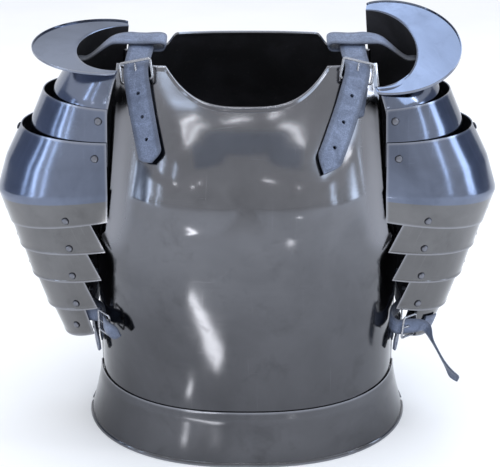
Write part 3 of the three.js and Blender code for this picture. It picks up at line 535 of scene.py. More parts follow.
def buckle_steel(shader):
    """Bright drawn bar with file marks and dull hollows."""
    settings = bpy.context.scene.armour_buckle
    place = shader.place()
    clouds = shader.noise(place, 120.0, 5.0, 0.6)
    files = shader.spread(shader.noise(shader.stretched(place, (90.0, 2600.0, 2600.0)), 1.0, 2.0), 0.55, 0.7)
    dull = shader.spread(clouds, 0.5, 0.75)
    base = shader.mix(dull * 0.8, settings.tone, scaled(settings.tone, 0.42))
    shader.set(
        Base_Color=base, Metallic=1.0,
        Roughness=settings.polish + dull * 0.16 + files * 0.10)
    shader.set(Normal=shader.bump(files * 0.6 + clouds, 0.00012, 0.5))


def strap_leather(shader):
    """Dyed strap leather: pebbled grain, wrinkles across bends, dark pressed lines, rubbed edges, a painted blue
    reflection in its colours and painted shade inside the top plates.
    """
    settings = bpy.context.scene.armour_leather
    place = shader.place()
    along = shader.along()
    pebbles = shader.add("ShaderNodeTexVoronoi", {"feature": "F1", "distance": "EUCLIDEAN"}, {
        "Vector": place, "Scale": 1.0 / settings.grain_size, "Randomness": 0.9})
    furrows = shader.spread(pebbles, 0.25, 0.75)
    mottle = shader.noise(place, 55.0, 6.0, 0.65, 0.6)
    wrinkles = shader.spread(
        shader.noise(shader.stretched(along, (620.0, 60.0, 1.0)), 1.0, 4.0, 0.6, 0.8), 0.50, 0.72)
    scuffs = shader.spread(shader.noise(place, 130.0, 7.0, 0.72, 1.2), 0.56, 0.70)
    pressed = shader.mark("groove")
    edge = shader.mark("edge")
    painted_inside_shade = shader.mark("inside")
    # Both leather colours carry a painted blue reflection over the dark dye
    base = shader.mix(shader.spread(mottle, 0.30, 0.72), settings.dye_with_blue_reflection, settings.worn)
    base = shader.mix(furrows * 0.35, base, scaled(settings.dye_with_blue_reflection, 0.45))
    base = shader.mix(scuffs * 0.45, base, scaled(settings.worn, 1.45))
    base = shader.mix(wrinkles * 0.30, base, scaled(settings.dye_with_blue_reflection, 0.6))
    base = shader.mix(pressed * 0.7, base, scaled(settings.dye_with_blue_reflection, 0.35))
    base = shader.mix(edge * 0.55, base, (0.030, 0.032, 0.042))
    # Painted shade: near black where the pauldron straps run inside the top plates
    base = shader.mix(painted_inside_shade * 0.9, base, (0.018, 0.019, 0.024))
    shader.set(
        Base_Color=base, Roughness=0.40 + furrows * 0.15 + scuffs * 0.16 + edge * 0.12,
        Specular_IOR_Level=0.55, Sheen_Weight=0.06)
    height = (1 - furrows) * 0.5 + wrinkles * -0.45 + mottle * 0.6 + pressed * -0.9
    shader.set(Normal=shader.bump(height, 0.00028, 0.75))


def pale_floor(shader):
    """A plain matte studio floor, very slightly uneven in tone."""
    place = shader.place()
    tone = shader.spread(shader.noise(place, 1.4, 3.0), 0.3, 0.7)
    shader.set(Base_Color=shader.mix(tone, (0.86, 0.865, 0.875), (0.90, 0.90, 0.905)), Roughness=0.85)


def screen_cloth(fold_shade_colour, smooth):
    """A flat cloth screen at the side of the stage, with painted shade in streaks for its folds."""
    def build(shader):
        # Painted shade: stretched noise darkens streaks as if shaded in folds
        painted_fold_shade = shader.noise(shader.stretched(shader.place(), (1.0, 5.0, 0.4)), 1.0, 2.0)
        shader.set(Base_Color=shader.mix(painted_fold_shade, fold_shade_colour, smooth), Roughness=0.9)
    return build


def steel_set(part):
    settings = bpy.context.scene.armour_steel
    tone, clouding, hem_shade = {
        "body": (tuple(settings.dark_tone), 1.0, 0.38),
        # Painted shade: the skirt steel is a darker copy of the body steel, for the dim reflection of the shadowed
        # floor near the hem
        "skirt": (scaled(settings.dark_tone, 0.64), 1.3, 0),
        "lames": (tuple(settings.lame_tone), 1.2, 0),
        # Painted reflection: a blue-tinted copy of the steel for the pauldron plates
        "shoulder": (tuple(settings.painted_sky_blue_tone), 1.8, 0),
    }[part]
    outside = keep_material(f"{part}_steel", polished_steel(tone, clouding, hem_shade))
    return [outside, keep_material("raw_inside", raw_inside), keep_material("rivet_steel", rivet_steel)]


# Curves and small maths

def lerp(a, b, t):
    return a + (b - a) * t


def clamp(value, low=0.0, high=1.0):
    return max(low, min(high, value))


def smooth(t):
    return t * t * (3 - 2 * t)


def read_table(table, column, at):
    i = 0
    while i < len(table) - 2 and at > table[i + 1]["height"]:
        i += 1

    def slope(k):
        a = table[max(k - 1, 0)]
        b = table[min(k + 1, len(table) - 1)]
        return (b[column] - a[column]) / (b["height"] - a["height"])

    span = table[i + 1]["height"] - table[i]["height"]
    t = clamp((at - table[i]["height"]) / span)
    return (lerp(table[i][column], table[i + 1][column], smooth(t))
            + slope(i) * span * t * (1 - t) * (1 - t)
            - slope(i + 1) * span * t * t * (1 - t))


def curve_point(points, t):
    """A centripetal curve through the points, read at a share of their count."""
    place = (len(points) - 1) * t
    i = min(int(math.floor(place)), len(points) - 2)
    weight = place - i
    p1, p2 = points[i], points[i + 1]
    p0 = points[i - 1] if i > 0 else points[0] * 2 - points[1]
    p3 = points[i + 2] if i + 2 < len(points) else points[-1] * 2 - points[-2]
    d0, d1, d2 = ((b - a).length_squared ** 0.25 for a, b in ((p0, p1), (p1, p2), (p2, p3)))
    d1 = d1 if d1 > 1e-4 else 1.0
    d0 = d0 if d0 > 1e-4 else d1
    d2 = d2 if d2 > 1e-4 else d1
    start = ((p1 - p0) / d0 - (p2 - p0) / (d0 + d1) + (p2 - p1) / d1) * d1
    end = ((p2 - p1) / d1 - (p3 - p1) / (d1 + d2) + (p3 - p2) / d2) * d1
    w = weight
    return (p1 + start * w + (p2 * 3 - p1 * 3 - start * 2 - end) * w * w
            + (p1 * 2 - p2 * 2 + start + end) * w * w * w)


# The surfaces of the body

def width_at(profile, z):
    return body_half_width * read_table(profile, "width", z / shoulder_height)


def armhole_reach(profile, z):
    share = read_table(armhole_profile, "reach", z / shoulder_height)
    trim = (side_gap / front_depth) ** 2 / side_rounding
    return min(share * body_half_width, width_at(profile, z) * (1 - trim))


def pectoral(x, z):
    centre_z = 0.725 * shoulder_height
    height_radius = (0.085 if z < centre_z else 0.16) * shoulder_height
    far = ((abs(x) - 0.385 * body_half_width) / (0.345 * body_half_width)) ** 2 + ((z - centre_z) / height_radius) ** 2
    return pectoral_rise * (1 - far) ** (1.1 if z < centre_z else 1.6) if far < 1 else 0.0


def front_y(x, z):
    share = min(abs(x) / width_at(front_profile, z), 1)
    depth = front_depth * read_table(front_profile, "depth", z / shoulder_height)
    return -depth * math.sqrt(1 - share ** side_rounding) - pectoral(x, z)


def back_y(x, z):
    share = min(abs(x) / width_at(back_profile, z), 1)
    depth = back_depth * read_table(back_profile, "depth", z / shoulder_height)
    return depth * math.sqrt(1 - share ** side_rounding)


def beside_arm(z):
    height = z / shoulder_height
    return smooth(clamp((height - 0.50) / 0.1)) * (1 - smooth(clamp((height - 0.88) / 0.07)))


def plate_surface(profile, y_at, top_edge):
    """A body plate; beside the arms its surface turns a little outward to the rolled edge."""
    sign = math.copysign(1, y_at(0, body_bottom))

    def point_at(u, v):
        top_x, top_z = top_edge(abs(u))
        z = lerp(body_bottom, top_z, v)
        share = lerp(math.sin(abs(u) * math.pi / 2), top_x / armhole_reach(profile, top_z), v)
        x = math.copysign(share * armhole_reach(profile, z), u)
        from_edge = clamp((armhole_reach(profile, z) - abs(x)) / edge_flare_width)
        return Vector((x, y_at(x, z) + sign * edge_flare * (1 - from_edge) ** 2 * beside_arm(z), z))
    return point_at


def neckline(a):
    if a <= neck_share:
        share = a / neck_share
        return neck_half_width * share, lerp(neckline_height, shoulder_height, share ** neck_curve)
    tab_reach = armhole_reach(front_profile, shoulder_height)
    return lerp(neck_half_width, tab_reach, (a - neck_share) / (1 - neck_share)), shoulder_height


def collar_line(a):
    if a <= neck_share:
        return collar_half_width * a / neck_share, collar_height
    share = (a - neck_share) / (1 - neck_share)
    tab_reach = armhole_reach(back_profile, shoulder_height)
    drop = smooth(clamp(share / collar_drop_share))
    return lerp(collar_half_width, tab_reach, share), lerp(collar_height, shoulder_height, drop)


def skirt_surface(profile, y_at):
    spacing = plate_thickness + edge_bead + skirt_gap
    sign = math.copysign(1, y_at(0, body_bottom))

    def point_at(u, v):
        z = skirt_height * v
        closing = smooth(clamp((v - 0.82) / 0.18)) * (1 - abs(u) ** 10)
        flare = skirt_flare * (1 - v) ** flare_curve + spacing - 1.9 * closing
        reach = armhole_reach(profile, z)
        width = reach + flare
        x = math.copysign(math.sin(abs(u) * math.pi / 2) * width, u)
        return Vector((x, y_at(x * reach / width, z) + sign * flare * math.cos(abs(u) * math.pi / 2), z))
    return point_at


# The surfaces of the pauldrons

def hoop_point(hoop, side, u):
    out, out_height, end, end_height, depth = hoop
    phi = u * math.pi / 2
    return Vector((
        side * lerp(end * body_half_width, out * pauldron_reach, math.cos(phi)),
        math.sin(phi) * depth * pauldron_depth,
        lerp(end_height, out_height, math.cos(phi)) * shoulder_height))


def hoop_at(hoops, v):
    place = clamp(v) * (len(hoops) - 1)
    i = min(int(place), len(hoops) - 2)
    return tuple(lerp(a, b, place - i) for a, b in zip(hoops[i], hoops[i + 1]))


def soft_hoop_at(hoops, v):
    """The same hoops, with the creases between them a little rounded."""
    reach = 0.06 / (len(hoops) - 1)
    samples = [hoop_at(hoops, v + k * reach * min(1, v * 8, (1 - v) * 8)) for k in (-1, 0, 1)]
    return tuple(sum(column) / 3 for column in zip(*samples))


def inset_hoop(hoop, distance):
    out, out_height, end, end_height, depth = hoop
    return out - distance / pauldron_reach, out_height, end, end_height, depth - distance / pauldron_depth


def lame_hoops():
    lames = {}
    above = third_plate_hoops[-3:]
    for name, edge in lame_edges.items():
        top = inset_hoop(hoop_at(above, 1 - lame_overlap_share), plate_thickness + lame_gap)
        lames[name] = above = [top, edge]
    return lames


def hoop_surface(hoops, side):
    return lambda u, v: hoop_point(soft_hoop_at(hoops, v) if len(hoops) > 2 else hoop_at(hoops, v), side, u)


def lame_surface(hoops, name, side):
    """A lame whose open ends slant back from its lower corners."""
    foot_x = hoops[-1][2] * body_half_width + fit_gap
    foot_z = hoops[-1][3] * shoulder_height
    lean = math.tan(math.radians(lame_slants[name]))
    found = {}

    def end_share(v):
        if v not in found:
            hoop = hoop_at(hoops, v)
            low, high = 0.5, 1.0
            for _ in range(22):
                middle = (low + high) / 2
                point = hoop_point(hoop, 1, middle)
                if point.x >= foot_x + (point.z - foot_z) * lean:
                    low = middle
                else:
                    high = middle
            found[v] = low
        return found[v]

    return lambda u, v: hoop_point(hoop_at(hoops, v), side, u * end_share(v))


def sharp_surface(hoops, side):
    return lambda u, v: hoop_point(hoop_at(hoops, v), side, u)


def top_plate_surface(side, pitch):
    wall_share, flange_share = 0.5, 0.88
    slope = math.tan(math.radians(pitch))

    def point_at(u, v):
        crescent = max(math.cos(u * math.pi / 2), 0.0) ** 0.8
        if v <= wall_share:
            rise = v / wall_share
            point = hoop_point(hoop_at(top_plate_hoops, rise), side, u)
            point.z += point.y * slope * rise ** 4
            return point
        along = min((v - wall_share) / (flange_share - wall_share), 1)
        lip = max((v - flange_share) / (1 - flange_share), 0)
        point = hoop_point(top_plate_hoops[-1], side, u)
        width = flange_width * lerp(0.35, 1, crescent) * along
        point.x += side * width * max(crescent, 0.12)
        point.y += math.sin(u * math.pi / 2) * width * 0.55
        point.z += flange_rise * along * crescent + flange_lip * lip
        point.z += point.y * slope
        return point
    return point_at


# Making meshes

def grid_normals(points):
    rows, columns = len(points), len(points[0])
    normals = []
    for r in range(rows):
        line = []
        for c in range(columns):
            du = points[r][min(c + 1, columns - 1)] - points[r][max(c - 1, 0)]
            dv = points[min(r + 1, rows - 1)][c] - points[max(r - 1, 0)][c]
            line.append(du.cross(dv).normalized())
        normals.append(line)
    return normals


def steps(count, low_close, high_close):
    """Even shares from 0 to 1, with extra close steps inside each end that has a rounded edge."""
    shares = [i / count for i in range(count + 1)]
    for width, mirrored in ((low_close, False), (high_close, True)):
        for k in (0.15, 0.35, 0.6, 0.85, 1.0):
            if width > 0:
                shares.append(1 - width * k if mirrored else width * k)
    shares = sorted(shares)
    kept = [shares[0]]
    for share in shares[1:]:
        if share - kept[-1] > 0.0004:
            kept.append(share)
    kept[-1] = 1.0
    return kept


def bead_height(distance, width, height):
    """The half-round swelling of a rolled edge, at a distance in from it."""
    if width <= 0 or distance >= width:
        return 0.0
    return height * math.sqrt(max(1 - (2 * distance / width - 1) ** 2, 0.0)) if distance > width / 2 else height


class PlateMesh:
    """Collects the faces of one plate, its rolled edges and its rivets."""

    def __init__(self):
        self.points = []
        self.faces = []
        self.kinds = []
        self.marks = []
        self.uvs = []
        self.leans = {}

    def add_point(self, point, mark=0.0, uv=(0.0, 0.0)):
        self.points.append(point * MM)
        self.marks.append(mark)
        self.uvs.append((uv[0] * MM, uv[1] * MM))
        return len(self.points) - 1

    def add_face(self, corners, kind):
        self.faces.append(corners)
        self.kinds.append(kind)

    def add_sheet(self, us, vs, point_at, inside, skin, sides=None, top=None, bottom=None, polished_from=None,
                  band_from=None):
        """A closed sheet; sides, top and bottom are (width, height) of rolled edges.

        polished_from is the row share above which the inner face is polished too, and band_from the one
        from which the outer face takes the fourth finish."""
        middle = [[point_at(2 * u - 1, v) for u in us] for v in vs]
        normals = grid_normals(middle)
        r, c = (len(vs) // 4 if polished_from is not None else len(vs) // 2), len(us) // 2
        outward = 1 if normals[r][c].dot(middle[r][c] - inside) > 0 else -1
        across, up = [], [[0.0] * len(us)]
        for row in middle:
            run = [0.0]
            for a, b in zip(row, row[1:]):
                run.append(run[-1] + (b - a).length)
            across.append(run)
        for below, row in zip(middle, middle[1:]):
            up.append([h + (b - a).length for h, a, b in zip(up[-1], below, row)])
        index = [[], []]
        for face in (0, 1):
            for r, row in enumerate(middle):
                line = []
                for c, point in enumerate(row):
                    from_side = min(across[r][c], across[r][-1] - across[r][c])
                    from_top = up[-1][c] - up[r][c]
                    from_bottom = up[r][c]
                    swell = max(
                        bead_height(from_side, *sides) if sides else 0,
                        bead_height(from_top, *top) if top else 0,
                        bead_height(from_bottom, *bottom) if bottom else 0)
                    near = min(from_side, from_top, from_bottom)
                    mark = clamp(1 - near / 7) ** 1.5 if face == 0 else 0.0
                    offset = (skin + swell) if face == 0 else -(skin + swell / 2)
                    shifted = point + normals[r][c] * outward * offset
                    line.append(self.add_point(shifted, mark, (across[r][c], up[r][c])))
                index[face].append(line)
        flip = outward < 0
        for r in range(len(vs) - 1):
            for c in range(len(us) - 1):
                for face in (0, 1):
                    g = index[face]
                    corners = [g[r][c], g[r][c + 1], g[r + 1][c + 1], g[r + 1][c]]
                    if (face == 1) != flip:
                        corners.reverse()
                    kind = face if polished_from is None or vs[r] < polished_from else 0
                    if face == 0 and band_from is not None and vs[r] >= band_from:
                        kind = 3
                    self.add_face(corners, kind)
        last_row, last_column = len(vs) - 1, len(us) - 1
        loop = ([(0, c) for c in range(len(us))] + [(r, last_column) for r in range(1, len(vs))]
                + [(last_row, c) for c in range(last_column - 1, -1, -1)]
                + [(r, 0) for r in range(last_row - 1, 0, -1)])
        for (r0, c0), (r1, c1) in zip(loop, loop[1:] + loop[:1]):
            corners = [index[0][r0][c0], index[1][r0][c0], index[1][r1][c1], index[0][r1][c1]]
            if flip:
                corners.reverse()
            self.add_face(corners, 0)
        return index

    def add_dome(self, position, normal, radius, height, kind=2, sides=20):
        """A rivet head, slightly off round as struck by hand."""
        side = normal.orthogonal().normalized()
        other = normal.cross(side)
        profile = [(1.0, -0.25), (1.02, 0.10), (0.95, 0.40), (0.80, 0.68), (0.55, 0.88), (0.28, 0.97)]
        rings = []
        for share, rise in profile:
            ring = []
            for k in range(sides):
                angle = k * 2 * math.pi / sides
                wobble = 1 + 0.03 * math.sin(angle * 3 + position.z) + 0.02 * math.sin(angle * 5 + position.y)
                offset = (side * math.cos(angle) + other * math.sin(angle)) * radius * share * wobble
                ring.append(self.add_point(position + offset + normal * height * rise, clamp(rise * 1.1)))
            rings.append(ring)
        for below, above in zip(rings, rings[1:]):
            for k in range(sides):
                self.add_face([below[k], below[(k + 1) % sides], above[(k + 1) % sides], above[k]], kind)
        tip = self.add_point(position + normal * height, 1.0)
        for k in range(sides):
            self.add_face([rings[-1][k], rings[-1][(k + 1) % sides], tip], kind)
        foot = self.add_point(position - normal * height * 0.25, 0.0)
        for k in range(sides):
            self.add_face([rings[0][(k + 1) % sides], rings[0][k], foot], kind)

    def finish(self, name, body, slot, nodes, stuff, sharp=50):
        mesh = bpy.data.meshes.new(name)
        mesh.from_pydata([tuple(p) for p in self.points], [], self.faces)
        for material in stuff:
            mesh.materials.append(material)
        mesh.polygons.foreach_set("material_index", self.kinds)
        mark = mesh.attributes.new("edge", "FLOAT", "POINT")
        mark.data.foreach_set("value", self.marks)
        layer = mesh.uv_layers.new(name="along")
        for loop in mesh.loops:
            layer.data[loop.index].uv = self.uvs[loop.vertex_index]
        mesh.shade_smooth()
        mesh.set_sharp_from_angle(angle=math.radians(sharp))
        if self.leans:
            self.flatten_shading(mesh)
        piece = bpy.data.objects.new(name, mesh)
        bpy.context.scene.collection.objects.link(piece)
        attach(piece, body)
        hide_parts(*nodes)
        return piece


    def flatten_shading(self, mesh):
        """Shades the strips beside the arms as the nearly plane faces that they are, and marks them for the painted
        lighter tone of the steel.
        """
        share = mesh.attributes.new("flattened", "FLOAT", "POINT")
        share.data.foreach_set("value", [self.leans.get(i, (0.0,))[0] for i in range(len(self.points))])
        normals = [corner.vector.copy() for corner in mesh.corner_normals]
        for i, loop in enumerate(mesh.loops):
            weight, ahead = self.leans.get(loop.vertex_index, (0.0, 1))
            if weight > 0 and normals[i].y * ahead > 0.05:
                normals[i] = normals[i].lerp(Vector((0, ahead, 0)), weight * 0.8).normalized()
        mesh.normals_split_custom_set(normals)


body_centre = Vector((0, 0, shoulder_height / 2))
root_body = "cuirass"


def shoulder_centre(side):
    return Vector((side * 0.6 * pauldron_reach, 0, 0.7 * shoulder_height))


def sides_of_body():
    return (("left", -1), ("right", 1))


# Straps

def strap_frame(stations, index):
    forward = (stations[index + 1][0] - stations[index - 1][0]).normalized()
    centre = stations[index][0].copy()
    normal = stations[index][1].cross(forward).normalized()
    if normal.dot(centre - body_centre) < 0:
        normal.negate()
    return {"centre": centre, "forward": forward, "normal": normal, "side": forward.cross(normal).normalized()}


def route(controls, count):
    """Stations along a strap: centre, sideways direction and share of the way."""
    centres = [c[0] for c in controls]
    sides = [c[1] for c in controls]
    return [(curve_point(centres, i / count), curve_point(sides, i / count).normalized(), i / count)
            for i in range(count + 1)]


def strap_mesh(controls, width, count, tip=None, start=None, groove=3.2):
    """A leather strip with rounded edges; tip and start are (length, sharpness) of its shaped ends."""
    stations = route(controls, count)
    mesh = PlateMesh()
    mesh.grooves = []
    run = [0.0]
    for a, b in zip(stations, stations[1:]):
        run.append(run[-1] + (b[0] - a[0]).length)
    half_thick = leather_thickness / 2
    section = [(k / 5, 1) for k in range(-5, 6)] + [(1.0, 0.45), (1.0, -0.45)]
    section += [(k / 5, -1) for k in range(5, -6, -1)] + [(-1.0, -0.45), (-1.0, 0.45)]
    rings = []
    for i, (centre, side_way, _) in enumerate(stations):
        before = stations[max(i - 1, 0)][0]
        after = stations[min(i + 1, len(stations) - 1)][0]
        tangent = (after - before).normalized()
        normal = side_way.cross(tangent).normalized()
        side = tangent.cross(normal).normalized()
        half = width / 2
        left = run[-1] - run[i]
        if tip and left < tip[0]:
            half *= max(1 - (1 - left / tip[0]) ** tip[1], 0.03)
        if start and run[i] < start[0]:
            half *= max(1 - (1 - run[i] / start[0]) ** start[1], 0.03)
        ring = []
        for across, up in section:
            edge = abs(across) == 1 and abs(up) == 1
            inset = 0.55 if edge else 0.0
            crown = 0.18 * (1 - across * across)
            offset = side * (across * half - math.copysign(inset, across) * (half > 2))
            height = (half_thick - (0.25 if edge else 0)) * up - 0.1 * up
            if abs(up) == 1:
                height += crown * up
            lift = normal * height
            index = mesh.add_point(centre + offset + lift, 1.0 if abs(across) == 1 else 0.0,
                                   (run[i], across * half))
            depth = abs(abs(across) * half - (half - groove))
            mesh.grooves.append(clamp(1 - depth / 1.6) if groove and abs(up) == 1 else 0.0)
            ring.append(index)
        rings.append(ring)
    size = len(section)
    for below, above in zip(rings, rings[1:]):
        for k in range(size):
            mesh.add_face([below[k], below[(k + 1) % size], above[(k + 1) % size], above[k]], 0)
    mesh.add_face(list(reversed(rings[0])), 0)
    mesh.add_face(rings[-1], 0)
    return mesh


def finish_strap(mesh, name, body, nodes, cutters=()):
    leather = keep_material("strap_leather", strap_leather)
    piece = mesh.finish(name, body, "leather", nodes, [leather], sharp=70)
    data = piece.data
    groove = data.attributes.new("groove", "FLOAT", "POINT")
    groove.data.foreach_set("value", mesh.grooves)
    # Marks the painted shade inside the top plates, on the pauldron straps only
    inside = data.attributes.new("inside", "FLOAT", "POINT")
    inside.data.foreach_set("value", [
        clamp((abs(v.co.x) * 1000 - inside_from) / 16) if "pauldron" in name else 0.0 for v in data.vertices])
    turn_outward(data)
    for centre, normal, radius in cutters:
        cut_hole(piece, centre, normal, radius)
    return piece


def turn_outward(data):
    work = bmesh.new()
    work.from_mesh(data)
    bmesh.ops.recalc_face_normals(work, faces=work.faces)
    work.to_mesh(data)
    work.free()


def cut_hole(piece, centre, normal, radius):
    """Punches one round hole through a strap."""
    work = bmesh.new()
    turn = Vector((0, 0, 1)).rotation_difference(normal).to_matrix().to_4x4()
    bmesh.ops.create_cone(
        work, cap_ends=True, segments=20, radius1=radius * MM, radius2=radius * MM,
        depth=leather_thickness * 2.4 * MM, matrix=Matrix.Translation(centre * MM) @ turn)
    punch_mesh = bpy.data.meshes.new("punch")
    work.to_mesh(punch_mesh)
    work.free()
    punch = bpy.data.objects.new("punch", punch_mesh)
    bpy.context.scene.collection.objects.link(punch)
    modifier = piece.modifiers.new("punch", "BOOLEAN")
    modifier.operation = "DIFFERENCE"
    modifier.solver = "EXACT"
    modifier.object = punch
    graph = bpy.context.evaluated_depsgraph_get()
    cut = bpy.data.meshes.new_from_object(piece.evaluated_get(graph))
    piece.modifiers.clear()
    piece.data = cut
    bpy.data.objects.remove(punch)


def tube(mesh, path, radii, sides=12, closed=False, kind=0, flatten=1.0, up=None):
    """A round bar along a path of points."""
    rings = []
    count = len(path)
    for i, centre in enumerate(path):
        if closed:
            tangent = (path[(i + 1) % count] - path[i - 1]).normalized()
        else:
            tangent = (path[min(i + 1, count - 1)] - path[max(i - 1, 0)]).normalized()
        first = (up - tangent * up.dot(tangent)).normalized() if up else tangent.orthogonal().normalized()
        second = tangent.cross(first)
        radius = radii[i] if isinstance(radii, list) else radii
        rings.append([mesh.add_point(
            centre + (first * math.cos(a) * flatten + second * math.sin(a)) * radius, abs(math.cos(a)), (i * 2.0, a))
            for a in (k * 2 * math.pi / sides for k in range(sides))])
    pairs = list(zip(rings, rings[1:])) + ([(rings[-1], rings[0])] if closed else [])
    for below, above in pairs:
        for k in range(sides):
            mesh.add_face([below[k], below[(k + 1) % sides], above[(k + 1) % sides], above[k]], kind)
    if not closed:
        mesh.add_face(list(reversed(rings[0])), kind)
        mesh.add_face(rings[-1], kind)


def make_buckle(frame_at, strap_width, ring_name, tongue_name, body, nodes):
    """A tilted bar buckle with its tongue; returns the near bar and the tongue's slot."""
    along = frame_at["forward"] * math.cos(buckle_tilt) - frame_at["normal"] * math.sin(buckle_tilt)
    side = frame_at["side"]
    up = side.cross(along).normalized()
    centre = frame_at["centre"]
    half_hole = strap_width / 2 + 5 * fit_gap
    half_width = half_hole + buckle_bar / 2
    half_length = buckle_length / 2 - buckle_bar / 2
    corner = 3.0
    outline = []
    for sx, sy, start in ((1, 1, 0), (-1, 1, 1), (-1, -1, 2), (1, -1, 3)):
        for k in range(7):
            angle = (start + k / 6) * math.pi / 2
            outline.append((sx * (half_width - corner) + corner * math.cos(angle),
                            sy * (half_length - corner) + corner * math.sin(angle)))
    path = []
    for (x0, y0), (x1, y1) in zip(outline, outline[1:] + outline[:1]):
        pieces = max(int(math.hypot(x1 - x0, y1 - y0) / 2.5), 1)
        for k in range(pieces):
            x, y = lerp(x0, x1, k / pieces), lerp(y0, y1, k / pieces)
            path.append(centre + side * x + along * y)
    ring = PlateMesh()
    bright = keep_material("buckle_steel", buckle_steel)
    tube(ring, path, buckle_bar / 2 * 0.98, sides=14, closed=True, flatten=0.80, up=up)
    piece = ring.finish(ring_name, body, "buckle_steel", [nodes[0]], [bright], sharp=80)
    turn_outward(piece.data)
    reach = buckle_length / 2 - buckle_bar - fit_gap
    pin = PlateMesh()
    points, radii = [], []
    for k in range(17):
        t = k / 16
        bend = 0.35 * math.sin(t * math.pi)
        points.append(centre + along * lerp(reach, -reach, t) + up * bend)
        radii.append(tongue_radius * (0.98 if t < 0.7 else lerp(0.98, 0.55, (t - 0.7) / 0.3)))
    tube(pin, points, radii, sides=12)
    piece = pin.finish(tongue_name, body, "buckle_steel", [nodes[1]], [bright], sharp=60)
    turn_outward(piece.data)
    return centre + along * (buckle_length / 2), along, reach


layer_one = plate_thickness / 2 + fit_gap + leather_thickness / 2
layer_two = layer_one + leather_thickness + fit_gap
buckle_rise = layer_one + 0.5 * buckle_length * math.sin(buckle_tilt) + tongue_radius


def over_skin(y_at, x, z, rise):
    step = 0.5

    def point(px, pz):
        return Vector((px, y_at(px, pz), pz))

    across = point(x + step, z) - point(x - step, z)
    normal = across.cross(point(x, z + step) - point(x, z - step)).normalized()
    if normal.y * y_at(0, z) < 0:
        normal.negate()
    side = Vector((1, 0, 0)) - normal * normal.x
    return point(x, z) + normal * rise, side.normalized()


def shoulder_controls(tag, side):
    x = side * strap_reach
    inset, drop = strap_tip[tag]
    on_back = [over_skin(back_y, x, shoulder_height * (1 - d), layer_one + lift * leather_thickness)
               for d, lift in strap_on_back]
    over = [(Vector((x, depth * back_depth, shoulder_height + crown * strap_crown)), Vector((1, 0, 0)))
            for depth, crown in strap_over_shoulder]
    rises = [buckle_rise] + [layer_two + lift * leather_thickness for lift in strap_on_chest]
    front = []
    for i, rise in enumerate(rises):
        t = i / (len(rises) - 1)
        height = lerp(shoulder_height - buckle_drop, shoulder_height - drop, t)
        front.append(over_skin(front_y, x - side * inset * t ** 1.2, height, rise))
    return on_back + over + front, len(on_back + over)


def loop_controls(side, over):
    """The pauldron strap: looped round the shoulder strap and run down inside the top plate."""
    loop_rise = leather_thickness + fit_gap
    under_rise = 1.85 * loop_rise

    def at(reach, rise):
        return over["centre"] + Vector((side * (reach - strap_reach), 0, 0)) + over["normal"] * rise

    across = over["forward"].copy()
    level = Vector((0, -1, 0))
    neck = hoop_point(top_plate_hoops[-1], side, 0)
    wall = hoop_point(top_plate_hoops[-2], side, 0)
    down = (wall - neck).normalized()
    inward = Vector((down.z, 0, -down.x)) * side
    stand_off = layer_one + 1.4 * leather_thickness

    def along_wall(distance):
        return neck + down * distance + inward * stand_off

    half = shoulder_strap_width / 2
    inner = strap_reach - half - loop_fold
    return [
        (at(strap_reach + half - loop_lap, -under_rise), across),
        (at(strap_reach - 0.2 * half, -under_rise), across),
        (at(inner, -under_rise), across),
        (at(inner - loop_rise, 0), across),
        (at(inner, loop_rise), across),
        (at(strap_reach, loop_rise), across),
        (at(strap_reach + half + loop_lap, 1.2 * loop_rise), across),
        (at(strap_reach + 2.3 * half, 0.33 * loop_rise), across.lerp(level, 0.4)),
        (along_wall(loop_lap) + inward * loop_fold, level),
        (along_wall(0.4 * strap_tuck), level),
        (along_wall(strap_tuck), level),
    ]


def torso_reach(y, z):
    profile = front_profile if y < 0 else back_profile
    depth = (front_depth if y < 0 else back_depth) * read_table(profile, "depth", z / shoulder_height)
    return width_at(profile, z) * (1 - (abs(y) / depth) ** 2) ** (1 / side_rounding)


def around_torso(side, y, z, rise):
    slope = torso_reach(y + 0.5, z) - torso_reach(y - 0.5, z)
    normal = Vector((side, -slope, 0)).normalized()
    return Vector((side * torso_reach(y, z), y, z)) + normal * rise, Vector((0, 0, 1))


def side_controls(side):
    z = side_strap_height * shoulder_height
    layers = {"one": layer_one, "two": layer_two, "buckle": buckle_rise}
    return [around_torso(
        side, along * (front_depth if along < 0 else back_depth), z - drop * shoulder_height,
        layers[layer] + lift * leather_thickness) for along, layer, lift, drop in side_strap_path]


def arm_controls(side, free_end):
    hoop = hoop_at(lame_hoops()["lowest_lame"], 0.55)
    end_x, end_y = hoop[2] * body_half_width, hoop[4] * pauldron_depth
    z = hoop[3] * shoulder_height
    inside = end_y - layer_one - 0.7 * leather_thickness
    upright = Vector((0, 0, 1))
    edge_on = Vector((0, -0.94, 0.34))
    body_edge = torso_reach(0, z) + plate_thickness / 2 + edge_bead
    clear = max(body_edge + 1.3 * leather_thickness, end_x)

    def place(x, y, height=z, turn=1.0):
        return Vector((side * x, y, height)), edge_on.lerp(upright, turn).normalized()

    def follow(path):
        return [place(end_x + out * pauldron_reach, back * pauldron_depth - end_y - lift * buckle_rise,
                      z - drop * shoulder_height, turn) for out, back, drop, lift, turn in path]

    controls = [place(end_x + out * pauldron_reach, inside - back * pauldron_depth)
                for out, back in arm_strap_inside]
    controls += [
        place(clear, inside - arm_strap_across[0] * pauldron_depth),
        place(clear + fit_gap, 0),
        place(clear, arm_strap_across[1] * pauldron_depth - inside),
    ]
    return controls + follow(free_end), follow(short_chape)


def chape_outside(side):
    surface = sharp_surface(lame_hoops()["lowest_lame"], side)
    down = 0.66
    stations = []
    for u in (-0.62, -0.54, -0.46, -0.4):
        du = surface(u + 1e-3, down) - surface(u - 1e-3, down)
        dv = surface(u, down + 1e-3) - surface(u, down - 1e-3)
        normal = du.cross(dv).normalized()
        if normal.dot(Vector((side, -1, 0))) < 0:
            normal.negate()
        across = (surface(u, down - 0.1) - surface(u, down + 0.1)).normalized()
        stations.append((surface(u, down) + normal * (layer_one + fit_gap), across))
    return stations


# Operators: one for each piece or group of like pieces

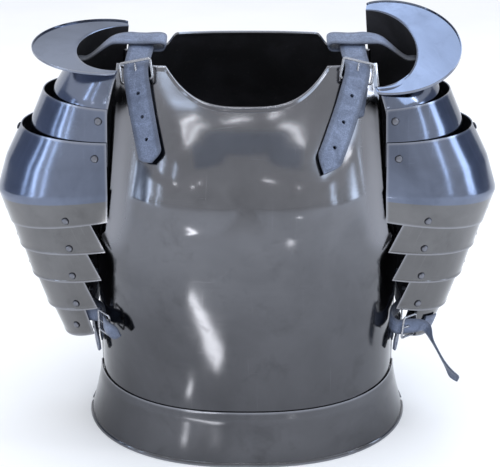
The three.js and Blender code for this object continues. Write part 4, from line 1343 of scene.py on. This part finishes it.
class BodyPlateOperator(bpy.types.Operator):
    """Makes the breastplate and the back plate with their rolled edges"""
    bl_idname = "armour.make_body_plates"
    bl_label = "Body plates"

    def execute(self, context):
        skin = plate_thickness / 2
        for name, profile, y_at, top_edge in (
                ("breastplate", front_profile, front_y, neckline),
                ("backplate", back_profile, back_y, collar_line)):
            mesh = PlateMesh()
            side_bead = bead_width / (body_half_width * math.pi)
            top_bead = bead_width / (shoulder_height - body_bottom)
            index = mesh.add_sheet(
                steps(120, side_bead, side_bead), steps(80, 0, top_bead),
                plate_surface(profile, y_at, top_edge), body_centre, skin,
                sides=(bead_width, edge_bead), top=(bead_width, edge_bead))
            for line in index[0]:
                for corner in line:
                    point = mesh.points[corner] / MM
                    inland = armhole_reach(profile, min(point.z, shoulder_height)) - abs(point.x)
                    if inland > bead_width / 2:
                        weight = beside_arm(point.z) * (1 - smooth(clamp((inland - 10) / 28)))
                        mesh.leans[corner] = (weight, math.copysign(1, point.y))
            mesh.finish(f"{name}_plate", root_body, "steel", [name], steel_set("body"))
        return {"FINISHED"}


class SkirtOperator(bpy.types.Operator):
    """Makes the two flared skirt plates with their rolled hem"""
    bl_idname = "armour.make_skirt"
    bl_label = "Skirt"

    def execute(self, context):
        for name, profile, y_at in (("breast_skirt", front_profile, front_y), ("back_skirt", back_profile, back_y)):
            mesh = PlateMesh()
            bead = bead_width / skirt_height
            mesh.add_sheet(
                steps(120, 0.004, 0.004), steps(16, bead, 0.02), skirt_surface(profile, y_at), body_centre,
                plate_thickness / 2, bottom=(bead_width, edge_bead))
            for i, point in enumerate(mesh.points):
                if point.z < 0.0004:
                    mesh.points[i] = Vector((point.x, point.y, 0.0))
            mesh.finish(f"{name}_plate", root_body, "steel", [name], steel_set("skirt"))
        return {"FINISHED"}


class PauldronOperator(bpy.types.Operator):
    """Makes both pauldrons: top plates with their flanges, two more plates and four lames each"""
    bl_idname = "armour.make_pauldrons"
    bl_label = "Pauldrons"

    def execute(self, context):
        skin = plate_thickness / 2
        pitches = {"left": 11, "right": 26}
        for tag, side in sides_of_body():
            stuff = steel_set("shoulder")
            top = PlateMesh()
            rows = [i * 0.5 / 14 for i in range(15)] + top_plate_rows
            top.add_sheet(
                steps(48, 0.01, 0.01), rows, top_plate_surface(side, pitches[tag]), shoulder_centre(side), skin,
                polished_from=0.5)
            top.finish(f"top_plate_{tag}_steel", root_body, "steel", [f"top_plate_{tag}"], stuff)
            lames = lame_hoops()
            plates = {"second_plate": second_plate_hoops, "third_plate": third_plate_hoops, **lames}
            pivots = {
                "second_plate": [(second_plate_hoops, (-top_pivot_u, top_pivot_u), pivot_rows["second_plate"])],
                "third_plate": [
                    (third_plate_hoops, (-top_pivot_u, top_pivot_u), pivot_rows["third_plate"]),
                    (third_plate_hoops, (-lame_pivot_u, lame_pivot_u), pivot_rows["third_plate_lower"]),
                    (third_plate_hoops, (-0.03,), 0.04), (third_plate_hoops, (-0.03,), 0.88)],
                **{name: [(lames[name], (-lame_pivot_u, lame_pivot_u), pivot_rows["lame"]),
                          (lames[name], (-0.03,), pivot_rows["lame"])]
                   for name in ("upper_lame", "second_lame", "third_lame")},
                "lowest_lame": [(lames["lowest_lame"], (-0.70, 0.70), 0.72)],
            }
            for name, hoops in plates.items():
                mesh = PlateMesh()
                lame = name in lame_edges
                # The fourth slot, the lame steel, is for the third plate's band below the crease, where the painted
                # blue reflection stops
                stuff = steel_set("lames" if lame else "shoulder") + steel_set("lames")[:1]
                surface = lame_surface(hoops, name, side) if lame else hoop_surface(hoops, side)
                rows = steps(10 * (len(hoops) - 1), 0, 0.05)
                if name == "upper_lame":
                    rows = [lerp(hidden_share, 1, row) for row in rows]
                mesh.add_sheet(
                    steps(56, 0.008, 0.008), rows, surface, shoulder_centre(side), skin,
                    top=(2.6, 0.55) if lame else None, band_from=crease_share if name == "third_plate" else None)
                for pivot_hoops, us, v in pivots.get(name, []):
                    surface = sharp_surface(pivot_hoops, side)
                    for across in us:
                        du = surface(across + 1e-3, v) - surface(across - 1e-3, v)
                        dv = surface(across, v + 1e-3) - surface(across, v - 1e-3)
                        normal = du.cross(dv).normalized()
                        if normal.dot(surface(across, v) - shoulder_centre(side)) < 0:
                            normal.negate()
                        mesh.add_dome(
                            surface(across, v) + normal * skin, normal, rivet_head_radius, rivet_head_height)
                        grip = 2 * plate_thickness + lame_gap + pivot_play
                        mesh.add_dome(surface(across, v) + normal * (skin - grip - 0.3), -normal, 3.2, 0.9)
                mesh.finish(f"{name}_{tag}_steel", f"{name}_{tag}", "steel", [f"{name}_{tag}"], stuff)
        return {"FINISHED"}


class ShoulderStrapOperator(bpy.types.Operator):
    """Makes the shoulder straps, their chapes and buckles, and the pauldron straps looped round them"""
    bl_idname = "armour.make_shoulder_straps"
    bl_label = "Shoulder straps"

    def execute(self, context):
        for tag, side in sides_of_body():
            controls, buckle_control = shoulder_controls(tag, side)
            count = (len(controls) - 1) * 3
            stations = route(controls, count)
            buckle_index = buckle_control * 3
            buckled = strap_frame(stations, buckle_index)
            near_bar, along, reach = make_buckle(
                buckled, shoulder_strap_width, f"shoulder_buckle_{tag}_bar", f"shoulder_tongue_{tag}_pin",
                root_body, (f"shoulder_buckle_{tag}", f"shoulder_tongue_{tag}"))
            cutters = []
            for k in chest_holes:
                at = strap_frame(stations, buckle_index + k)
                cutters.append((at["centre"], at["normal"], strap_hole_radius))
            cutters.append((buckled["centre"], along, tongue_radius + fit_gap))
            tip = (13, 2.6) if tag == "left" else (20, 1.5)
            strip = strap_mesh(controls, shoulder_strap_width, 200, tip=tip, start=(10, 2.6))
            finish_strap(strip, f"shoulder_strap_{tag}_leather", root_body, [f"shoulder_strap_{tag}"], cutters)
            x = side * strap_reach
            top = near_bar.z - buckle_bar - 5 * fit_gap
            chape = [over_skin(front_y, x - side * strap_tip["left"][0] / 3 * t,
                               lerp(top, shoulder_height - chape_drop, t), layer_one + fit_gap)
                     for t in (0, 0.3, 0.6, 0.86, 1)]
            strip = strap_mesh(chape, shoulder_strap_width, 60, tip=(9, 2.2))
            finish_strap(strip, f"shoulder_chape_{tag}_leather", root_body, [f"shoulder_chape_{tag}"])
            strip = strap_mesh(loop_controls(side, strap_frame(stations, 13)), pauldron_strap_width, 120)
            finish_strap(strip, f"pauldron_strap_{tag}_leather", root_body, [f"pauldron_strap_{tag}"])
        return {"FINISHED"}


class SideStrapOperator(bpy.types.Operator):
    """Makes the side straps with their chapes and buckles"""
    bl_idname = "armour.make_side_straps"
    bl_label = "Side straps"

    def execute(self, context):
        for tag, side in sides_of_body():
            controls = side_controls(side)
            stations = route(controls, (len(controls) - 1) * 2)
            buckled = strap_frame(stations, 6)
            near_bar, along, reach = make_buckle(
                buckled, side_strap_width, f"side_buckle_{tag}_bar", f"side_tongue_{tag}_pin",
                root_body, (f"side_buckle_{tag}", f"side_tongue_{tag}"))
            cutters = []
            for k in side_holes:
                at = strap_frame(stations, k)
                cutters.append((at["centre"], at["normal"], strap_hole_radius))
            cutters.append((buckled["centre"], along, tongue_radius + fit_gap))
            strip = strap_mesh(controls, side_strap_width, 110, tip=(12, 2.4))
            finish_strap(strip, f"side_strap_{tag}_leather", root_body, [f"side_strap_{tag}"], cutters)
            z = side_strap_height * shoulder_height
            start = near_bar.y - buckle_bar / 2 - fit_gap
            chape = [around_torso(side, start - t * side_strap_width, z, layer_one + fit_gap)
                     for t in (0, 0.35, 0.7, 1)]
            strip = strap_mesh(chape, side_strap_width, 40, tip=(9, 2.2))
            finish_strap(strip, f"side_chape_{tag}_leather", root_body, [f"side_chape_{tag}"])
        return {"FINISHED"}


class ArmStrapOperator(bpy.types.Operator):
    """Makes the arm straps; the right one has a long free end that hangs edge on"""
    bl_idname = "armour.make_arm_straps"
    bl_label = "Arm straps"

    def execute(self, context):
        for tag, side in sides_of_body():
            body = f"lowest_lame_{tag}"
            free_end, buckle_at = (short_end, 8) if tag == "left" else (hanging_end, 9)
            controls, chape = arm_controls(side, free_end)
            stations = route(controls, (len(controls) - 1) * 2)
            buckled = strap_frame(stations, buckle_at * 2)
            near_bar, along, reach = make_buckle(
                buckled, arm_strap_width, f"arm_buckle_{tag}_bar", f"arm_tongue_{tag}_pin",
                body, (f"arm_buckle_{tag}", f"arm_tongue_{tag}"))
            strip = strap_mesh(controls, arm_strap_width, 220, tip=(12, 2.2), groove=2.4)
            finish_strap(strip, f"arm_strap_{tag}_leather", body, [f"arm_strap_{tag}"],
                         [(buckled["centre"], along, tongue_radius + fit_gap)])
            strip = strap_mesh(chape if tag == "left" else chape_outside(side), arm_strap_width, 50, groove=2.4)
            finish_strap(strip, f"arm_chape_{tag}_leather", body, [f"arm_chape_{tag}"])
        return {"FINISHED"}


class StageOperator(bpy.types.Operator):
    """Makes the pale floor, the soft lights and the camera"""
    bl_idname = "armour.make_stage"
    bl_label = "Stage"

    def execute(self, context):
        settings = context.scene.armour_stage
        floor_mesh = bpy.data.meshes.new("floor")
        size = 12.0
        corners = [(-size, -size, 0), (size, -size, 0), (size, size, 0), (-size, size, 0)]
        floor_mesh.from_pydata(corners, [], [(0, 1, 2, 3)])
        floor_mesh.materials.append(keep_material("pale_floor", pale_floor))
        floor = bpy.data.objects.new("floor", floor_mesh)
        context.scene.collection.objects.link(floor)
        self.add_camera(context, settings)
        middle = Vector((0, 0, 0.26))
        for name, place, along, length, width, brightness, colour in stage_lamps:
            light = bpy.data.lights.new(name, "AREA")
            light.shape = "RECTANGLE"
            light.size, light.size_y = length, width
            light.energy = 4 * length * width * brightness * settings.lamp_brightness
            light.color = colour
            lamp = bpy.data.objects.new(name, light)
            back = (Vector(place) - middle).normalized() if place[2] > 0.1 else Vector((0, 0, -1))
            across = back.cross(Vector(along)).normalized()
            turn = Matrix((across.cross(back), across, back)).transposed()
            lamp.matrix_world = Matrix.Translation(place) @ turn.to_4x4()
            lamp.visible_camera = False
            lamp.visible_glossy = name != "floor_light"
            context.scene.collection.objects.link(lamp)
        for name, centre, length, height, cloth in screens:
            mesh = bpy.data.meshes.new(name)
            u, v = Vector(length), Vector(height)
            mesh.from_pydata([-u - v, u - v, u + v, v - u], [], [(0, 1, 2, 3)])
            mesh.materials.append(keep_material(cloth, screen_cloth(*cloths[cloth])))
            screen = bpy.data.objects.new(name, mesh)
            screen.location = centre
            screen.visible_camera = screen.visible_diffuse = screen.visible_shadow = False
            context.scene.collection.objects.link(screen)
        world = bpy.data.worlds.new("even_surroundings")
        world.use_nodes = True
        sky = next(n for n in world.node_tree.nodes if n.type == "BACKGROUND")
        sky.inputs["Color"].default_value = (*settings.sky, 1)
        sky.inputs["Strength"].default_value = settings.sky_strength
        context.scene.world = world
        context.scene.view_settings.view_transform = "Standard"
        return {"FINISHED"}

    def add_camera(self, context, settings):
        camera = bpy.data.cameras.new("view_camera")
        camera.sensor_fit = "HORIZONTAL"
        camera.angle = 2 * math.atan(250 / 1057)
        camera.dof.use_dof = False
        holder = bpy.data.objects.new("view_camera", camera)
        aim = Vector((0.0037, 0, 0.236))
        away = Vector((0, -math.cos(settings.camera_height), math.sin(settings.camera_height)))
        holder.location = aim + away * settings.camera_distance
        holder.rotation_euler = (-away).to_track_quat("-Z", "Y").to_euler()
        context.scene.collection.objects.link(holder)
        context.scene.camera = holder


class ArmourPanel(bpy.types.Panel):
    bl_idname = "VIEW3D_PT_armour"
    bl_label = "Steel Breastplate"
    bl_space_type = "VIEW_3D"
    bl_region_type = "UI"
    bl_category = "Armour"

    def draw(self, context):
        for group, names in (
                (context.scene.armour_steel, (
                    "dark_tone", "painted_sky_blue_tone", "lame_tone", "inside_tone", "polish", "wave_depth")),
                (context.scene.armour_leather, ("dye_with_blue_reflection", "worn", "grain_size")),
                (context.scene.armour_buckle, ("tone", "polish")),
                (context.scene.armour_stage, ("camera_distance", "camera_height", "lamp_brightness", "sky",
                                              "sky_strength"))):
            box = self.layout.box()
            for name in names:
                box.prop(group, name)
        for operator in operators:
            self.layout.operator(operator.bl_idname)


operators = (
    StageOperator, BodyPlateOperator, SkirtOperator, PauldronOperator, ShoulderStrapOperator, SideStrapOperator,
    ArmStrapOperator)
setting_groups = {
    "armour_steel": ArmourSteelSettings,
    "armour_leather": ArmourLeatherSettings,
    "armour_buckle": ArmourBuckleSettings,
    "armour_stage": ArmourStageSettings,
}


def register():
    for group in setting_groups.values():
        bpy.utils.register_class(group)
    for name, group in setting_groups.items():
        setattr(bpy.types.Scene, name, bpy.props.PointerProperty(type=group))
    for operator in operators:
        bpy.utils.register_class(operator)
    bpy.utils.register_class(ArmourPanel)


def unregister():
    bpy.utils.unregister_class(ArmourPanel)
    for operator in reversed(operators):
        bpy.utils.unregister_class(operator)
    for name, group in setting_groups.items():
        delattr(bpy.types.Scene, name)
        bpy.utils.unregister_class(group)


def main():
    register()
    for operator in operators:
        group, name = operator.bl_idname.split(".")
        getattr(getattr(bpy.ops, group), name)()


if __name__ == "__main__":
    main()
